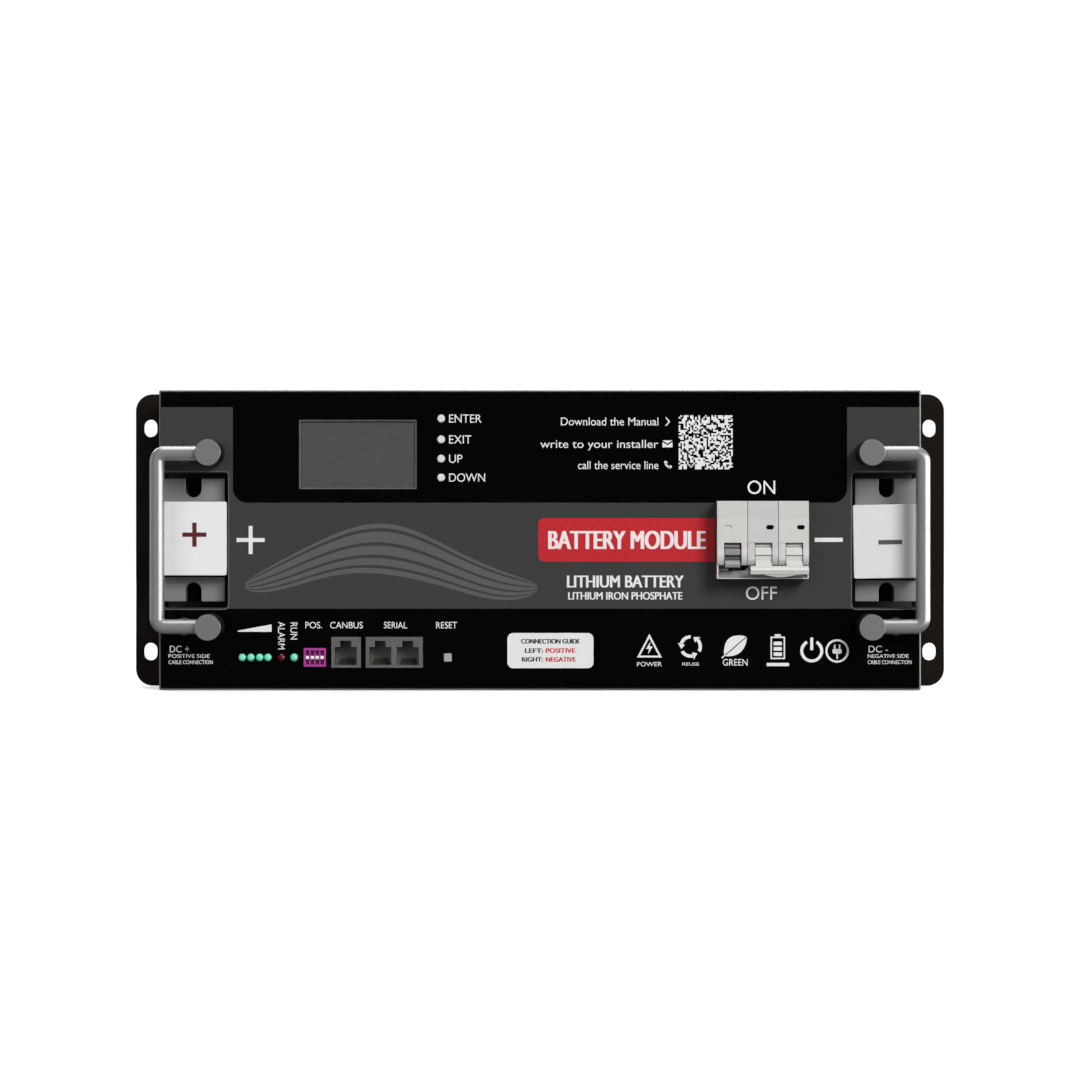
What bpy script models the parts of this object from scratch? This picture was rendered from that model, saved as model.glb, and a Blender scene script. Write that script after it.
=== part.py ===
"""Server rack battery: a 4U steel battery case with a printed control front, handles and rack ears.

Frame: X to the right seen from the front, the front faces -Y, +Z up, origin under the middle of the base.
Run: blender --background --python part.py
"""

import math

import bmesh
import bpy
from mathutils import Matrix, Vector

# Driving dimensions, in metres.
GAP = 0.0003
OVERALL_DEPTH = 0.540
STANDOFF = 0.022
CASE_WIDTH = 0.442
CASE_HEIGHT = 0.174
SHEET = 0.0015
OVERLAY = 0.0005
BEZEL_DEPTH = 0.045
BEZEL_BORDER = 0.0013
PLATE_MARGIN = 0.0002
FILM_MARGIN = 0.0006
RACK_WIDTH = 0.4826
EAR_SHEET = 0.0025
EAR_CORNER_R = 0.010
EAR_SLOT = (0.0080, 0.0104)
EAR_SLOT_PITCH = 0.13335
EAR_SLOT_X = 0.23255
EAR_LEG = 0.050
EAR_LEG_INSET = 0.010

HANDLE_BAR_R = 0.00425
HANDLE_BEND_R = 0.005
HANDLE_PITCH = 0.100
HANDLE_X = 0.2201
POST_X = 0.1899
POST_R = 0.0075
BAR_STANDOFF = 0.01425
SCREW_X = 0.2063
SCREW_HEAD_R = 0.00525

NOTCH_INNER_X = 0.1809
NOTCH_LOW = 0.0476
NOTCH_HIGH = 0.1259
NOTCH_DEPTH = 0.041
TERMINAL_RECESS = 0.012
TERMINAL_X = 0.2019
TERMINAL_WIDTH = 0.0357
TERMINAL_HEIGHT = 0.072
FLANGE = 0.009
FLANGE_SLOT = (0.0092, 0.0111)
FLANGE_SLOT_SHIFT = 0.0006
FOOT_INSET = (0.009, 0.003, 0.016)
BUSBAR_LEG = (0.1867, 0.1901)
BUSBAR_OUTER = 0.2140
BUSBAR_THICKNESS = 0.004
BUSBAR_HALF_HEIGHT = 0.010
BUSBAR_TAIL = 0.008
BOLT_HOLE_R = 0.0043
BOLT_HEAD_R = 0.0075
BOLT_HEAD = 0.0048
BOLT_R = 0.004
COVER_X = 0.20075
COVER_WIDTH = 0.0383
COVER_HEIGHT = 0.0429
COVER_LIFT = 0.0008
COVER_WALL = 0.002
COVER_TILT = math.radians(-1.0)
COVER_CORNER_R = 0.0012
CABLE_WAY_FRONT = 0.003
CABLE_WAY_HALF = 0.0085

MODULE_WIDTH = 0.01765
BREAKER_LEFT = 0.10165
MODULE_BACK = 0.050
MODULE_FACE = 0.0033
MODULE_HALF_HEIGHT = 0.0425
NOSE = 0.0155
NOSE_BEND_Z = 0.0993
NOSE_SLOPE = 0.0012
CHEEK_R = 0.0100
RECESS = (0.0042, 0.0030)
NOSE_LOW = 0.0646
NOSE_HIGH = 0.1094
TOGGLE_AXIS = (0.0055, 0.0788)
TOGGLE_REST = math.radians(34.8)
DRUM_R = 0.0092
WINDOW = (0.0040, 0.0140)
WINDOW_LOW = 0.0722
WINDOW_HIGH = 0.08545
LEVER_ROOT = 0.004
TOGGLE_ARM = (0.0160, 0.0032)
TOGGLE_BAR_X = (0.1209, 0.1544)
TOGGLE_BAR_REACH = (0.0145, 0.0183)
TOGGLE_BAR_THICKNESS = 0.0048
TRIP_TIP = (0.0088, 0.0130, 0.0030)
DIN_RAIL_X = (0.096, 0.162)
DIN_RAIL_FRONT = 0.0503
DIN_RAIL_DEPTH = 0.0075
DIN_BRACKET_X = (0.098, 0.160)

DISPLAY = (-0.1396, -0.0716, 0.1166, 0.1566)
BUTTON_X = -0.0573
BUTTON_R = 0.00225
BUTTON_HEIGHTS = {"enter": 0.1574, "exit": 0.1453, "up": 0.1341, "down": 0.1232}
KEY_COLLAR = (0.0042, 0.0055, 0.0010)
LED_R = 0.00215
LENS_ROUND = ((-0.0012, 0.45), (-0.0009, 0.75), (-0.0004, 0.95), (0.0001, 1.0), (0.0055, 1.0))
LIGHT_PIPE = (0.0040, 0.0070, 0.003)
LED_Z = 0.019
CHARGE_LEDS = (-0.1726, -0.1676, -0.1625, -0.1577)
STATUS_LEDS = {"alarm": -0.1499, "run": -0.1425}
SWITCH_BLOCK = (-0.1369, -0.1240, 0.0136, 0.0244)
SLIDER_PITCH = 0.00283
SLIDER_Z = 0.01894
SLIDER_SLOT = (0.00095, 0.0041, 0.0012)
SLIDER_HALF = (0.0006, 0.0010)
CONTROL_LIFT = 0.0012
SWITCH_DEPTH = 0.0070
SOCKET_DEPTH = 0.0185
MOUTH_DEPTH = 0.0120
SOCKET_Z = (0.0130, 0.0308)
CAN_SOCKET = (-0.1209, -0.1038)
SERIAL_SOCKET = (-0.1009, -0.0679)
JACK_WIDTH = 0.0128
JACK_Z = (0.0145, 0.0250, 0.0286)
JACK_KEY = 0.0032
JACK_CENTRES = {"canbus": (-0.11255,), "serial": (-0.09253, -0.0766)}
RESET = (-0.0557, -0.0512, 0.01645, 0.02125)

CELL_THICKNESS = 0.050
CELL_WIDTH = 0.160
CELL_HEIGHT = 0.1185
CELLS_PER_MODULE = 4
CELL_START = -0.146
CELL_COLUMN_GAP = 0.0025
CELL_GROOVE = (0.0006, 0.001)
PLATE_HALF_WIDTH = 0.170
PLATE_HIGH = 0.126
PLATE_THICKNESS = 0.003
CARRIER_INSET = 0.004
LINK_X = (0.045, 0.120)
LINK_HALF = (0.011, 0.036)

# Boards: left, right, low, high, front and back behind the overlay's face.
DISPLAY_PANE = (0.0012, 0.0032)
DISPLAY_MODULE = (0.0035, 0.0120, 0.004)
INTERFACE_BOARD = (-0.1770, -0.0450, 0.007, 0.164, 0.0190, 0.0206)
BMS_BOARD = (-0.150, 0.085, 0.012, 0.158, 0.0620, 0.0640)
HEATSINK_X = (-0.140, 0.075)
HEATSINK_Z = (0.020, 0.080)
HEATSINK_FRONT = 0.0643
HEATSINK_FIN = (9, 0.002, 0.004, 0.018)

# Positions worked out from the driving dimensions.
BACK = OVERALL_DEPTH / 2
FRONT = -BACK + STANDOFF
PANEL = FRONT + OVERLAY + GAP
BEZEL_BACK = FRONT + BEZEL_DEPTH
HALF = CASE_WIDTH / 2
MID_Z = CASE_HEIGHT / 2


def out(height):
    """The Y of a point this far in front of the overlay's face."""
    return FRONT - height


def clear_scene():
    for obj in list(bpy.data.objects):
        bpy.data.objects.remove(obj, do_unlink=True)


def material(name, colour, roughness, metallic=0.0, alpha=1.0):
    found = bpy.data.materials.get(name)
    if found:
        return found
    made = bpy.data.materials.new(name)
    made.use_nodes = True
    shader = made.node_tree.nodes["Principled BSDF"]
    shader.inputs["Base Color"].default_value = (*colour, 1.0)
    shader.inputs["Roughness"].default_value = roughness
    shader.inputs["Metallic"].default_value = metallic
    shader.inputs["Alpha"].default_value = alpha
    return made


def case_paint():
    return material("case_paint", (0.012, 0.011, 0.011), 0.45)


def overlay_film():
    return material("overlay_film", (0.01, 0.01, 0.01), 0.12)


def handle_steel():
    return material("handle_steel", (0.45, 0.45, 0.45), 0.25, 1.0)


def grey_plastic():
    return material("grey_plastic", (0.16, 0.16, 0.16), 0.3)


def white_plastic():
    return material("white_plastic", (0.74, 0.74, 0.74), 0.25)


def breaker_plastic():
    return material("breaker_plastic", (0.62, 0.61, 0.58), 0.4)


def lever_plastic():
    return material("lever_plastic", (0.25, 0.25, 0.25), 0.4)


def switch_plastic():
    return material("switch_plastic", (0.37, 0.02, 0.27), 0.4)


def green_lens():
    return material("green_lens", (0.16, 0.75, 0.52), 0.2)


def red_lens():
    return material("red_lens", (0.2, 0.01, 0.01), 0.2)


def display_glass():
    return material("display_glass", (0.07, 0.07, 0.07), 0.15)


def zinc_steel():
    return material("zinc_steel", (0.5, 0.5, 0.5), 0.35, 1.0)


def copper():
    return material("copper", (0.6, 0.28, 0.16), 0.3, 1.0)


def aluminium():
    return material("aluminium", (0.6, 0.6, 0.62), 0.4, 1.0)


def board_laminate():
    return material("board_laminate", (0.01, 0.08, 0.03), 0.5)


def cell_wrap():
    return material("cell_wrap", (0.02, 0.08, 0.3), 0.4)


def finish(obj, surface, smooth_angle=None):
    """Give an object its material and, on round pieces, smooth shading."""
    obj.data.materials.clear()
    obj.data.materials.append(surface)
    if smooth_angle:
        obj.data.shade_smooth()
        obj.data.set_sharp_from_angle(angle=math.radians(smooth_angle))
    return obj


def from_bmesh(name, mesh):
    bmesh.ops.recalc_face_normals(mesh, faces=mesh.faces)
    data = bpy.data.meshes.new(name)
    mesh.to_mesh(data)
    mesh.free()
    obj = bpy.data.objects.new(name, data)
    bpy.context.scene.collection.objects.link(obj)
    return obj


def box(name, low, high):
    mesh = bmesh.new()
    bmesh.ops.create_cube(mesh, size=1.0)
    low, high = Vector(low), Vector(high)
    for vertex in mesh.verts:
        shares = vertex.co + Vector((0.5, 0.5, 0.5))
        vertex.co = Vector(low[i] + (high[i] - low[i]) * shares[i] for i in range(3))
    return from_bmesh(name, mesh)


def prism(name, outline, axis, low, high):
    """Extrude a closed outline along an axis. The outline's pairs are the other two axes in X, Y, Z order."""
    others = [i for i in range(3) if i != axis]
    mesh = bmesh.new()
    ring = []
    for pair in outline:
        place = [0.0, 0.0, 0.0]
        place[axis] = low
        place[others[0]], place[others[1]] = pair
        ring.append(mesh.verts.new(place))
    face = mesh.faces.new(ring)
    grown = bmesh.ops.extrude_face_region(mesh, geom=[face])
    shift = Vector((0.0, 0.0, 0.0))
    shift[axis] = high - low
    moved = [item for item in grown["geom"] if isinstance(item, bmesh.types.BMVert)]
    bmesh.ops.translate(mesh, verts=moved, vec=shift)
    return from_bmesh(name, mesh)


def turned(name, centre, axis, profile, segments=24):
    """A round solid about an axis through centre; profile is (distance along the axis, radius) pairs."""
    turn = Vector((0.0, 0.0, 1.0)).rotation_difference(Vector(axis)).to_matrix().to_4x4()
    place = Matrix.Translation(Vector(centre)) @ turn
    mesh = bmesh.new()
    rings = []
    for along, radius in profile:
        ring = bmesh.ops.create_circle(mesh, segments=segments, radius=radius, cap_ends=False)["verts"]
        bmesh.ops.translate(mesh, verts=ring, vec=(0.0, 0.0, along))
        rings.append(ring)
    for lower, upper in zip(rings, rings[1:]):
        for i in range(segments):
            j = (i + 1) % segments
            mesh.faces.new((lower[i], lower[j], upper[j], upper[i]))
    mesh.faces.new(rings[0])
    mesh.faces.new(rings[-1])
    mesh.transform(place)
    return from_bmesh(name, mesh)


def cylinder(name, centre, axis, radius, low, high, segments=24):
    return turned(name, centre, axis, ((low, radius), (high, radius)), segments)


def arc(centre, radius, start, end, steps):
    """Points of an arc, with the angles in degrees, both ends included."""
    angles = [math.radians(start + (end - start) * i / steps) for i in range(steps + 1)]
    return [(centre[0] + radius * math.cos(a), centre[1] + radius * math.sin(a)) for a in angles]


def rounded_rectangle(left, right, low, high, radius, steps=4):
    return (
        arc((left + radius, low + radius), radius, 180, 270, steps)
        + arc((right - radius, low + radius), radius, 270, 360, steps)
        + arc((right - radius, high - radius), radius, 0, 90, steps)
        + arc((left + radius, high - radius), radius, 90, 180, steps)
    )


def as_cutter(obj):
    obj.hide_render = True
    obj.display_type = "WIRE"
    return obj


def combine(obj, other, operation):
    modifier = obj.modifiers.new(operation.lower(), "BOOLEAN")
    modifier.operation = operation
    modifier.solver = "EXACT"
    modifier.object = as_cutter(other)
    return obj


def cut(obj, *cutters):
    for cutter in cutters:
        combine(obj, cutter, "DIFFERENCE")
    return obj


def weld(obj, *others):
    for other in others:
        combine(obj, other, "UNION")
    return obj


def chamfer(obj, width):
    modifier = obj.modifiers.new("chamfer", "BEVEL")
    modifier.width = width
    modifier.segments = 1
    modifier.limit_method = "ANGLE"
    modifier.angle_limit = math.radians(60)
    return obj


# Case.


def make_base_tray():
    """The bent tray: floor, two sides and the inward lips that the lid sits on."""
    lip = 0.012
    lip_top = CASE_HEIGHT - SHEET - GAP
    half = [
        (HALF, 0.0),
        (HALF, lip_top),
        (HALF - lip, lip_top),
        (HALF - lip, lip_top - SHEET),
        (HALF - SHEET, lip_top - SHEET),
        (HALF - SHEET, SHEET),
    ]
    outline = half + [(-x, z) for x, z in reversed(half)]
    tray = prism("base_tray", outline, 1, BEZEL_BACK + GAP, BACK)
    return finish(tray, case_paint())


def make_top_cover():
    cover = box(
        "top_cover",
        (-HALF, BEZEL_BACK + GAP, CASE_HEIGHT - SHEET),
        (HALF, BACK, CASE_HEIGHT),
    )
    return finish(cover, case_paint())


def make_rear_panel():
    """The back plate, a shallow pan whose bent edges screw to the tray."""
    hem = 0.012
    edge = HALF - SHEET - GAP
    low = SHEET + GAP
    high = CASE_HEIGHT - 2 * SHEET - 2 * GAP
    panel = box("rear_panel", (-edge, BACK - hem, low), (edge, BACK, high))
    inside = box(
        "rear_panel_inside",
        (-edge + SHEET, BACK - hem - SHEET, low + SHEET),
        (edge - SHEET, BACK - SHEET, high - SHEET),
    )
    return finish(cut(panel, inside), case_paint())


def notch_block(name, side, grow, back):
    """The space of one terminal notch, open at the case's side, grown by a wall on its closed faces."""
    inner = NOTCH_INNER_X - grow
    outer = HALF + 0.002
    span = (side * inner, side * outer)
    return box(
        name,
        (min(span), FRONT - 0.002, NOTCH_LOW - grow),
        (max(span), back, NOTCH_HIGH + grow),
    )


def panel_openings(name, margin, front, back):
    """Every opening through the front plate and its film, each grown by a margin."""
    first = box(
        name,
        (BREAKER_LEFT - GAP - margin, front, NOSE_LOW - GAP - margin),
        (BREAKER_LEFT + 3 * MODULE_WIDTH + margin, back, NOSE_HIGH + GAP + margin),
    )
    rectangles = {
        "display": DISPLAY,
        "switches": SWITCH_BLOCK,
        "canbus": (*CAN_SOCKET, *SOCKET_Z),
        "serial": (*SERIAL_SOCKET, *SOCKET_Z),
        "reset": RESET,
    }
    others = []
    for label, (left, right, low, high) in rectangles.items():
        grow = margin + GAP
        others.append(
            box(
                f"{name}_{label}",
                (left - grow, front, low - grow),
                (right + grow, back, high + grow),
            )
        )
    rounds = [(BUTTON_X, z, BUTTON_R) for z in BUTTON_HEIGHTS.values()]
    rounds += [(x, LED_Z, LED_R) for x in STATUS_LEDS.values()]
    if margin:
        reach = LED_R + GAP + margin
        others.append(
            box(
                f"{name}_charge_slot",
                (CHARGE_LEDS[0] - reach, front, LED_Z - reach),
                (CHARGE_LEDS[-1] + reach, back, LED_Z + reach),
            )
        )
    else:
        rounds += [(x, LED_Z, LED_R - 0.0001) for x in CHARGE_LEDS]
    for i, (x, z, radius) in enumerate(rounds):
        hole = cylinder(
            f"{name}_hole_{i}", (x, 0, z), (0, 1, 0), radius + GAP + margin, front, back, 12
        )
        others.append(hole)
    return join(first, others)


def join(first, others):
    """Put several separate closed cutters into one object."""
    mesh = bmesh.new()
    for obj in (first, *others):
        mesh.from_mesh(obj.data)
    mesh.to_mesh(first.data)
    mesh.free()
    for obj in others:
        bpy.data.objects.remove(obj, do_unlink=True)
    return first


def screw_places():
    return [
        (side * SCREW_X, MID_Z + level * HANDLE_PITCH / 2) for side in (-1, 1) for level in (-1, 1)
    ]


def screw_profile(grow, start, end):
    """A 90 degree countersunk head and its shank, grown outwards by a clearance."""
    shank = SCREW_HEAD_R - 0.0025 + grow
    return ((start, SCREW_HEAD_R - start + grow), (0.0025, shank), (end, shank))


def screw_holes(name, grow):
    cones = []
    for i, (x, z) in enumerate(screw_places()):
        profile = screw_profile(grow, -0.0003, 0.004)
        cones.append(turned(f"{name}_{i}", (x, FRONT, z), (0, 1, 0), profile, 16))
    return join(cones[0], cones[1:])


def busbar_passages(name):
    """Slots through the rear walls of both terminal notches."""
    slots = []
    for side in (-1, 1):
        span = (side * (BUSBAR_LEG[0] - 0.0011), side * (BUSBAR_LEG[1] + 0.0013))
        slots.append(
            box(
                f"{name}_{side + 1}",
                (min(span), FRONT + NOTCH_DEPTH - 0.004, MID_Z - 0.011),
                (max(span), BEZEL_BACK + 0.004, MID_Z + 0.011),
            )
        )
    return join(slots[0], slots[1:])


def make_front_bezel():
    """The front pan: face plate with bent edges, and a pocket at each side for a terminal."""
    bezel = box("front_bezel", (-HALF, PANEL, 0.0), (HALF, BEZEL_BACK, CASE_HEIGHT))
    chamfer(bezel, 0.0009)
    inside = box(
        "bezel_inside",
        (-HALF + SHEET, PANEL + SHEET, SHEET),
        (HALF - SHEET, BEZEL_BACK + 0.004, CASE_HEIGHT - SHEET),
    )
    pocket_back = FRONT + NOTCH_DEPTH
    for side in (-1, 1):
        cut(inside, notch_block(f"pocket_wall_{side + 1}", side, SHEET, pocket_back + SHEET))
    cut(bezel, inside)
    for side in (-1, 1):
        cut(bezel, notch_block(f"pocket_{side + 1}", side, 0.0, pocket_back))
    openings = panel_openings("bezel_openings", PLATE_MARGIN, FRONT - 0.002, PANEL + SHEET + 0.002)
    cut(bezel, openings)
    cut(bezel, screw_holes("bezel_screw_holes", 1.5 * GAP), busbar_passages("busbar_passages"))
    return finish(bezel, case_paint())


def make_front_overlay():
    """The printed film on the face plate."""
    edge = HALF - BEZEL_BORDER
    outline = rounded_rectangle(
        -edge, edge, BEZEL_BORDER, CASE_HEIGHT - BEZEL_BORDER, 0.001, 2
    )
    film = prism("front_overlay", outline, 1, FRONT, FRONT + OVERLAY)
    for side in (-1, 1):
        cut(film, notch_block(f"film_notch_{side + 1}", side, FILM_MARGIN, FRONT + 0.002))
    cut(film, panel_openings("film_openings", 0.0, FRONT - 0.002, FRONT + 0.002))
    cut(film, screw_holes("film_screw_holes", 2 * GAP))
    return finish(film, overlay_film())


def make_rack_ear(name, side):
    """An angle bracket: a flange with the rack slots, and a leg screwed along the case's side."""
    inner = HALF + GAP
    outer = RACK_WIDTH / 2
    low, high, radius = 0.0, CASE_HEIGHT, EAR_CORNER_R
    outline = (
        [(inner, low)]
        + arc((outer - radius, low + radius), radius, 270, 360, 5)
        + arc((outer - radius, high - radius), radius, 0, 90, 5)
        + [(inner, high)]
    )
    ear = prism(name, [(side * x, z) for x, z in outline], 1, BEZEL_BACK, BEZEL_BACK + EAR_SHEET)
    leg = (side * inner, side * (inner + EAR_SHEET))
    bracket_leg = box(
        f"{name}_leg",
        (min(leg), BEZEL_BACK + 0.001, EAR_LEG_INSET),
        (max(leg), BEZEL_BACK + EAR_LEG, CASE_HEIGHT - EAR_LEG_INSET),
    )
    weld(ear, bracket_leg)
    width, height = EAR_SLOT
    for level in (-1, 1):
        centre = (side * EAR_SLOT_X, MID_Z + level * EAR_SLOT_PITCH / 2)
        slot = prism(
            f"{name}_slot_{level + 1}",
            rounded_rectangle(
                centre[0] - width / 2,
                centre[0] + width / 2,
                centre[1] - height / 2,
                centre[1] + height / 2,
                width / 2 - 0.0001,
                5,
            ),
            1,
            BEZEL_BACK - 0.002,
            BEZEL_BACK + EAR_SHEET + 0.002,
        )
        cut(ear, slot)
    return finish(ear, case_paint())


# Handles and screws.


def make_handle_bar(name, side):
    """A round bar bent into a shallow U, its two ends held in the posts."""
    curve = bpy.data.curves.new(name, "CURVE")
    curve.dimensions = "3D"
    curve.bevel_depth = HANDLE_BAR_R
    curve.bevel_resolution = 3
    curve.use_fill_caps = True
    top = MID_Z + HANDLE_PITCH / 2
    low = MID_Z - HANDLE_PITCH / 2
    bend = HANDLE_BEND_R
    route = (
        [(POST_X + 0.003, top)]
        + arc((HANDLE_X - bend, top - bend), bend, 90, 0, 5)
        + arc((HANDLE_X - bend, low + bend), bend, 0, -90, 5)
        + [(POST_X + 0.003, low)]
    )
    spline = curve.splines.new("POLY")
    spline.points.add(len(route) - 1)
    for point, (x, z) in zip(spline.points, route):
        point.co = (side * x, out(BAR_STANDOFF), z, 1.0)
    obj = bpy.data.objects.new(name, curve)
    bpy.context.scene.collection.objects.link(obj)
    curve.materials.append(handle_steel())
    return obj


def make_handle_post(name, side, level):
    z = MID_Z + level * HANDLE_PITCH / 2
    profile = (
        (GAP, POST_R - 0.0004),
        (GAP + 0.0004, POST_R),
        (STANDOFF - 0.0006, POST_R),
        (STANDOFF, POST_R - 0.0006),
    )
    post = turned(name, (side * POST_X, FRONT, z), (0, -1, 0), profile, 24)
    socket = cylinder(
        f"{name}_socket",
        (side * (POST_X + 0.0027), out(BAR_STANDOFF), z),
        (side, 0, 0),
        HANDLE_BAR_R + GAP,
        0.0,
        0.010,
        16,
    )
    return finish(cut(post, socket), handle_steel(), 40)


def make_panel_screw(name, x, z):
    profile = screw_profile(0.0, 0.0002, 0.012)
    screw = turned(name, (x, FRONT, z), (0, 1, 0), profile, 16)
    recess = turned(
        f"{name}_recess", (x, FRONT, z), (0, 1, 0), ((-0.001, 0.0017), (0.0016, 0.0015)), 6
    )
    return finish(cut(screw, recess), zinc_steel(), 40)


# Terminals.


def flip(pairs, side):
    """Mirror outline pairs to the left side, and turn them upside down on the right one."""
    if side < 0:
        return [(-x, z) for x, z in pairs]
    return [(x, CASE_HEIGHT - z) for x, z in pairs]


def make_terminal_base(name, side):
    """The insulating base: a slotted flange on a narrower foot that stands on the pocket's rear wall."""
    front = FRONT + TERMINAL_RECESS
    left = TERMINAL_X - TERMINAL_WIDTH / 2
    right = TERMINAL_X + TERMINAL_WIDTH / 2
    low = MID_Z - TERMINAL_HEIGHT / 2
    high = MID_Z + TERMINAL_HEIGHT / 2
    half_slot = FLANGE_SLOT[0] / 2
    reach = FLANGE_SLOT[1] - half_slot
    middle = TERMINAL_X + FLANGE_SLOT_SHIFT
    outline = (
        [(left, low), (middle - half_slot, low)]
        + arc((middle, low + reach), half_slot, 180, 0, 6)
        + [(middle + half_slot, low), (right, low), (right, high), (middle + half_slot, high)]
        + arc((middle, high - reach), half_slot, 0, -180, 6)
        + [(middle - half_slot, high), (left, high)]
    )
    base = prism(name, flip(outline, side), 1, front, front + FLANGE)
    span = (side * (left + FOOT_INSET[0]), side * (right - FOOT_INSET[1]))
    foot = box(
        f"{name}_foot",
        (min(span), front + FLANGE - 0.001, low + FOOT_INSET[2]),
        (max(span), FRONT + NOTCH_DEPTH - GAP, high - FOOT_INSET[2]),
    )
    span = (side * (BUSBAR_LEG[0] - GAP), side * (BUSBAR_LEG[1] + GAP))
    passage = box(
        f"{name}_busbar_slot",
        (min(span), front - 0.002, MID_Z - 0.0105),
        (max(span), front + FLANGE + 0.002, MID_Z + 0.0105),
    )
    bore = cylinder(
        f"{name}_bolt_hole", (side * TERMINAL_X, front, MID_Z), (0, 1, 0), BOLT_HOLE_R, -0.002, 0.014, 16
    )
    return finish(cut(weld(base, foot), passage, bore), grey_plastic())


def make_busbar(name, side):
    """A bent copper strip: the pad under the terminal bolt, and the leg that runs back into the case."""
    pad_back = FRONT + TERMINAL_RECESS - GAP
    pad_front = pad_back - BUSBAR_THICKNESS
    tail = CELL_START - BUSBAR_TAIL
    inner, leg = BUSBAR_LEG
    outline = [
        (inner, pad_front),
        (BUSBAR_OUTER, pad_front),
        (BUSBAR_OUTER, pad_back),
        (leg, pad_back),
        (leg, tail),
        (inner, tail),
    ]
    outline = [(side * x, y) for x, y in outline]
    bar = prism(name, outline, 2, MID_Z - BUSBAR_HALF_HEIGHT, MID_Z + BUSBAR_HALF_HEIGHT)
    hole = cylinder(
        f"{name}_hole", (side * TERMINAL_X, pad_front, MID_Z), (0, 1, 0), BOLT_HOLE_R, -0.002, 0.006, 16
    )
    return finish(cut(bar, hole), copper())


def make_terminal_bolt(name, side):
    seat = (side * TERMINAL_X, FRONT + TERMINAL_RECESS - BUSBAR_THICKNESS - 2 * GAP, MID_Z)
    head = cylinder(name, seat, (0, -1, 0), BOLT_HEAD_R, 0.0, BOLT_HEAD, 6)
    shank = cylinder(f"{name}_shank", seat, (0, 1, 0), BOLT_R, -0.002, 0.016, 16)
    return finish(weld(head, shank), zinc_steel())


def make_terminal_cover(name, side):
    """The pull-off cap, open at the back and at its outer side where the cable leaves."""
    inner = COVER_X - COVER_WIDTH / 2
    outer = COVER_X + COVER_WIDTH / 2
    lift = COVER_LIFT if side < 0 else -COVER_LIFT
    low = MID_Z + lift - COVER_HEIGHT / 2
    high = MID_Z + lift + COVER_HEIGHT / 2
    back = FRONT + TERMINAL_RECESS - GAP
    span = sorted((side * inner, side * outer))
    cover = prism(name, rounded_rectangle(*span, low, high, COVER_CORNER_R, 3), 1, FRONT, back)
    hollow = box(
        f"{name}_inside",
        (span[0] + COVER_WALL, FRONT + COVER_WALL, low + COVER_WALL),
        (span[1] - COVER_WALL, back + 0.002, high - COVER_WALL),
    )
    mouth = sorted((side * (outer - 0.003), side * (outer + 0.002)))
    cable_way = box(
        f"{name}_cable_way",
        (mouth[0], FRONT + CABLE_WAY_FRONT, MID_Z - CABLE_WAY_HALF),
        (mouth[1], back + 0.002, MID_Z + CABLE_WAY_HALF),
    )
    finish(cut(cover, hollow, cable_way), white_plastic())
    if side > 0:
        centre = Vector((side * COVER_X, 0.0, MID_Z + lift))
        tilt = (
            Matrix.Translation(centre)
            @ Matrix.Rotation(COVER_TILT, 4, "Y")
            @ Matrix.Translation(-centre)
        )
        for piece in (cover, hollow, cable_way):
            piece.data.transform(tilt)
    return cover


# Circuit breaker.


def module_outline():
    """The side view of one breaker module: (Y, Z) pairs."""
    axis_y = out(TOGGLE_AXIS[0])
    body_back = FRONT + MODULE_BACK
    body_front = FRONT + MODULE_FACE
    cheek = []
    for degrees in (0, 12, 24, 36):
        angle = math.radians(degrees)
        cheek.append((axis_y - CHEEK_R * math.cos(angle), TOGGLE_AXIS[1] - CHEEK_R * math.sin(angle)))
    return (
        [
            (body_back, MID_Z + MODULE_HALF_HEIGHT),
            (body_front, MID_Z + MODULE_HALF_HEIGHT),
            (body_front, NOSE_HIGH),
            (out(NOSE - NOSE_SLOPE), NOSE_HIGH),
            (out(NOSE), NOSE_BEND_Z),
        ]
        + cheek
        + [
            (out(RECESS[0]), WINDOW_LOW),
            (out(RECESS[1]), NOSE_LOW),
            (body_front, NOSE_LOW),
            (body_front, MID_Z - MODULE_HALF_HEIGHT),
            (body_back, MID_Z - MODULE_HALF_HEIGHT),
        ]
    )


def make_breaker_module(name, index):
    left = BREAKER_LEFT + index * MODULE_WIDTH
    module = prism(name, module_outline(), 0, left, left + MODULE_WIDTH - GAP)
    axis = (0.0, out(TOGGLE_AXIS[0]), TOGGLE_AXIS[1])
    well = cylinder(
        f"{name}_well", axis, (1, 0, 0), DRUM_R + 0.0004, left + WINDOW[0], left + WINDOW[1], 32
    )
    window = box(
        f"{name}_window",
        (left + WINDOW[0], out(NOSE + 0.002), WINDOW_LOW - 0.006),
        (left + WINDOW[1], out(TOGGLE_AXIS[0] - 0.004), WINDOW_HIGH),
    )
    return finish(cut(module, well, window), breaker_plastic())


def make_drum(name, index):
    left = BREAKER_LEFT + index * MODULE_WIDTH
    axis = (0.0, out(TOGGLE_AXIS[0]), TOGGLE_AXIS[1])
    low = left + WINDOW[0] + GAP
    high = left + WINDOW[1] - GAP
    return cylinder(name, axis, (1, 0, 0), DRUM_R, low, high, 32)


def lever_box(name, left, right, reach, thickness):
    """An arm from the drum's middle outwards along the lever's rest direction."""
    direction = Vector((0.0, -math.cos(TOGGLE_REST), -math.sin(TOGGLE_REST)))
    across = Vector((0.0, -math.sin(TOGGLE_REST), math.cos(TOGGLE_REST)))
    origin = Vector((0.0, out(TOGGLE_AXIS[0]), TOGGLE_AXIS[1]))
    corners = []
    for along, side in ((reach[0], -1), (reach[1], -1), (reach[1], 1), (reach[0], 1)):
        point = origin + direction * along + across * side * thickness / 2
        corners.append((point.y, point.z))
    return prism(name, corners, 0, left, right)


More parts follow.
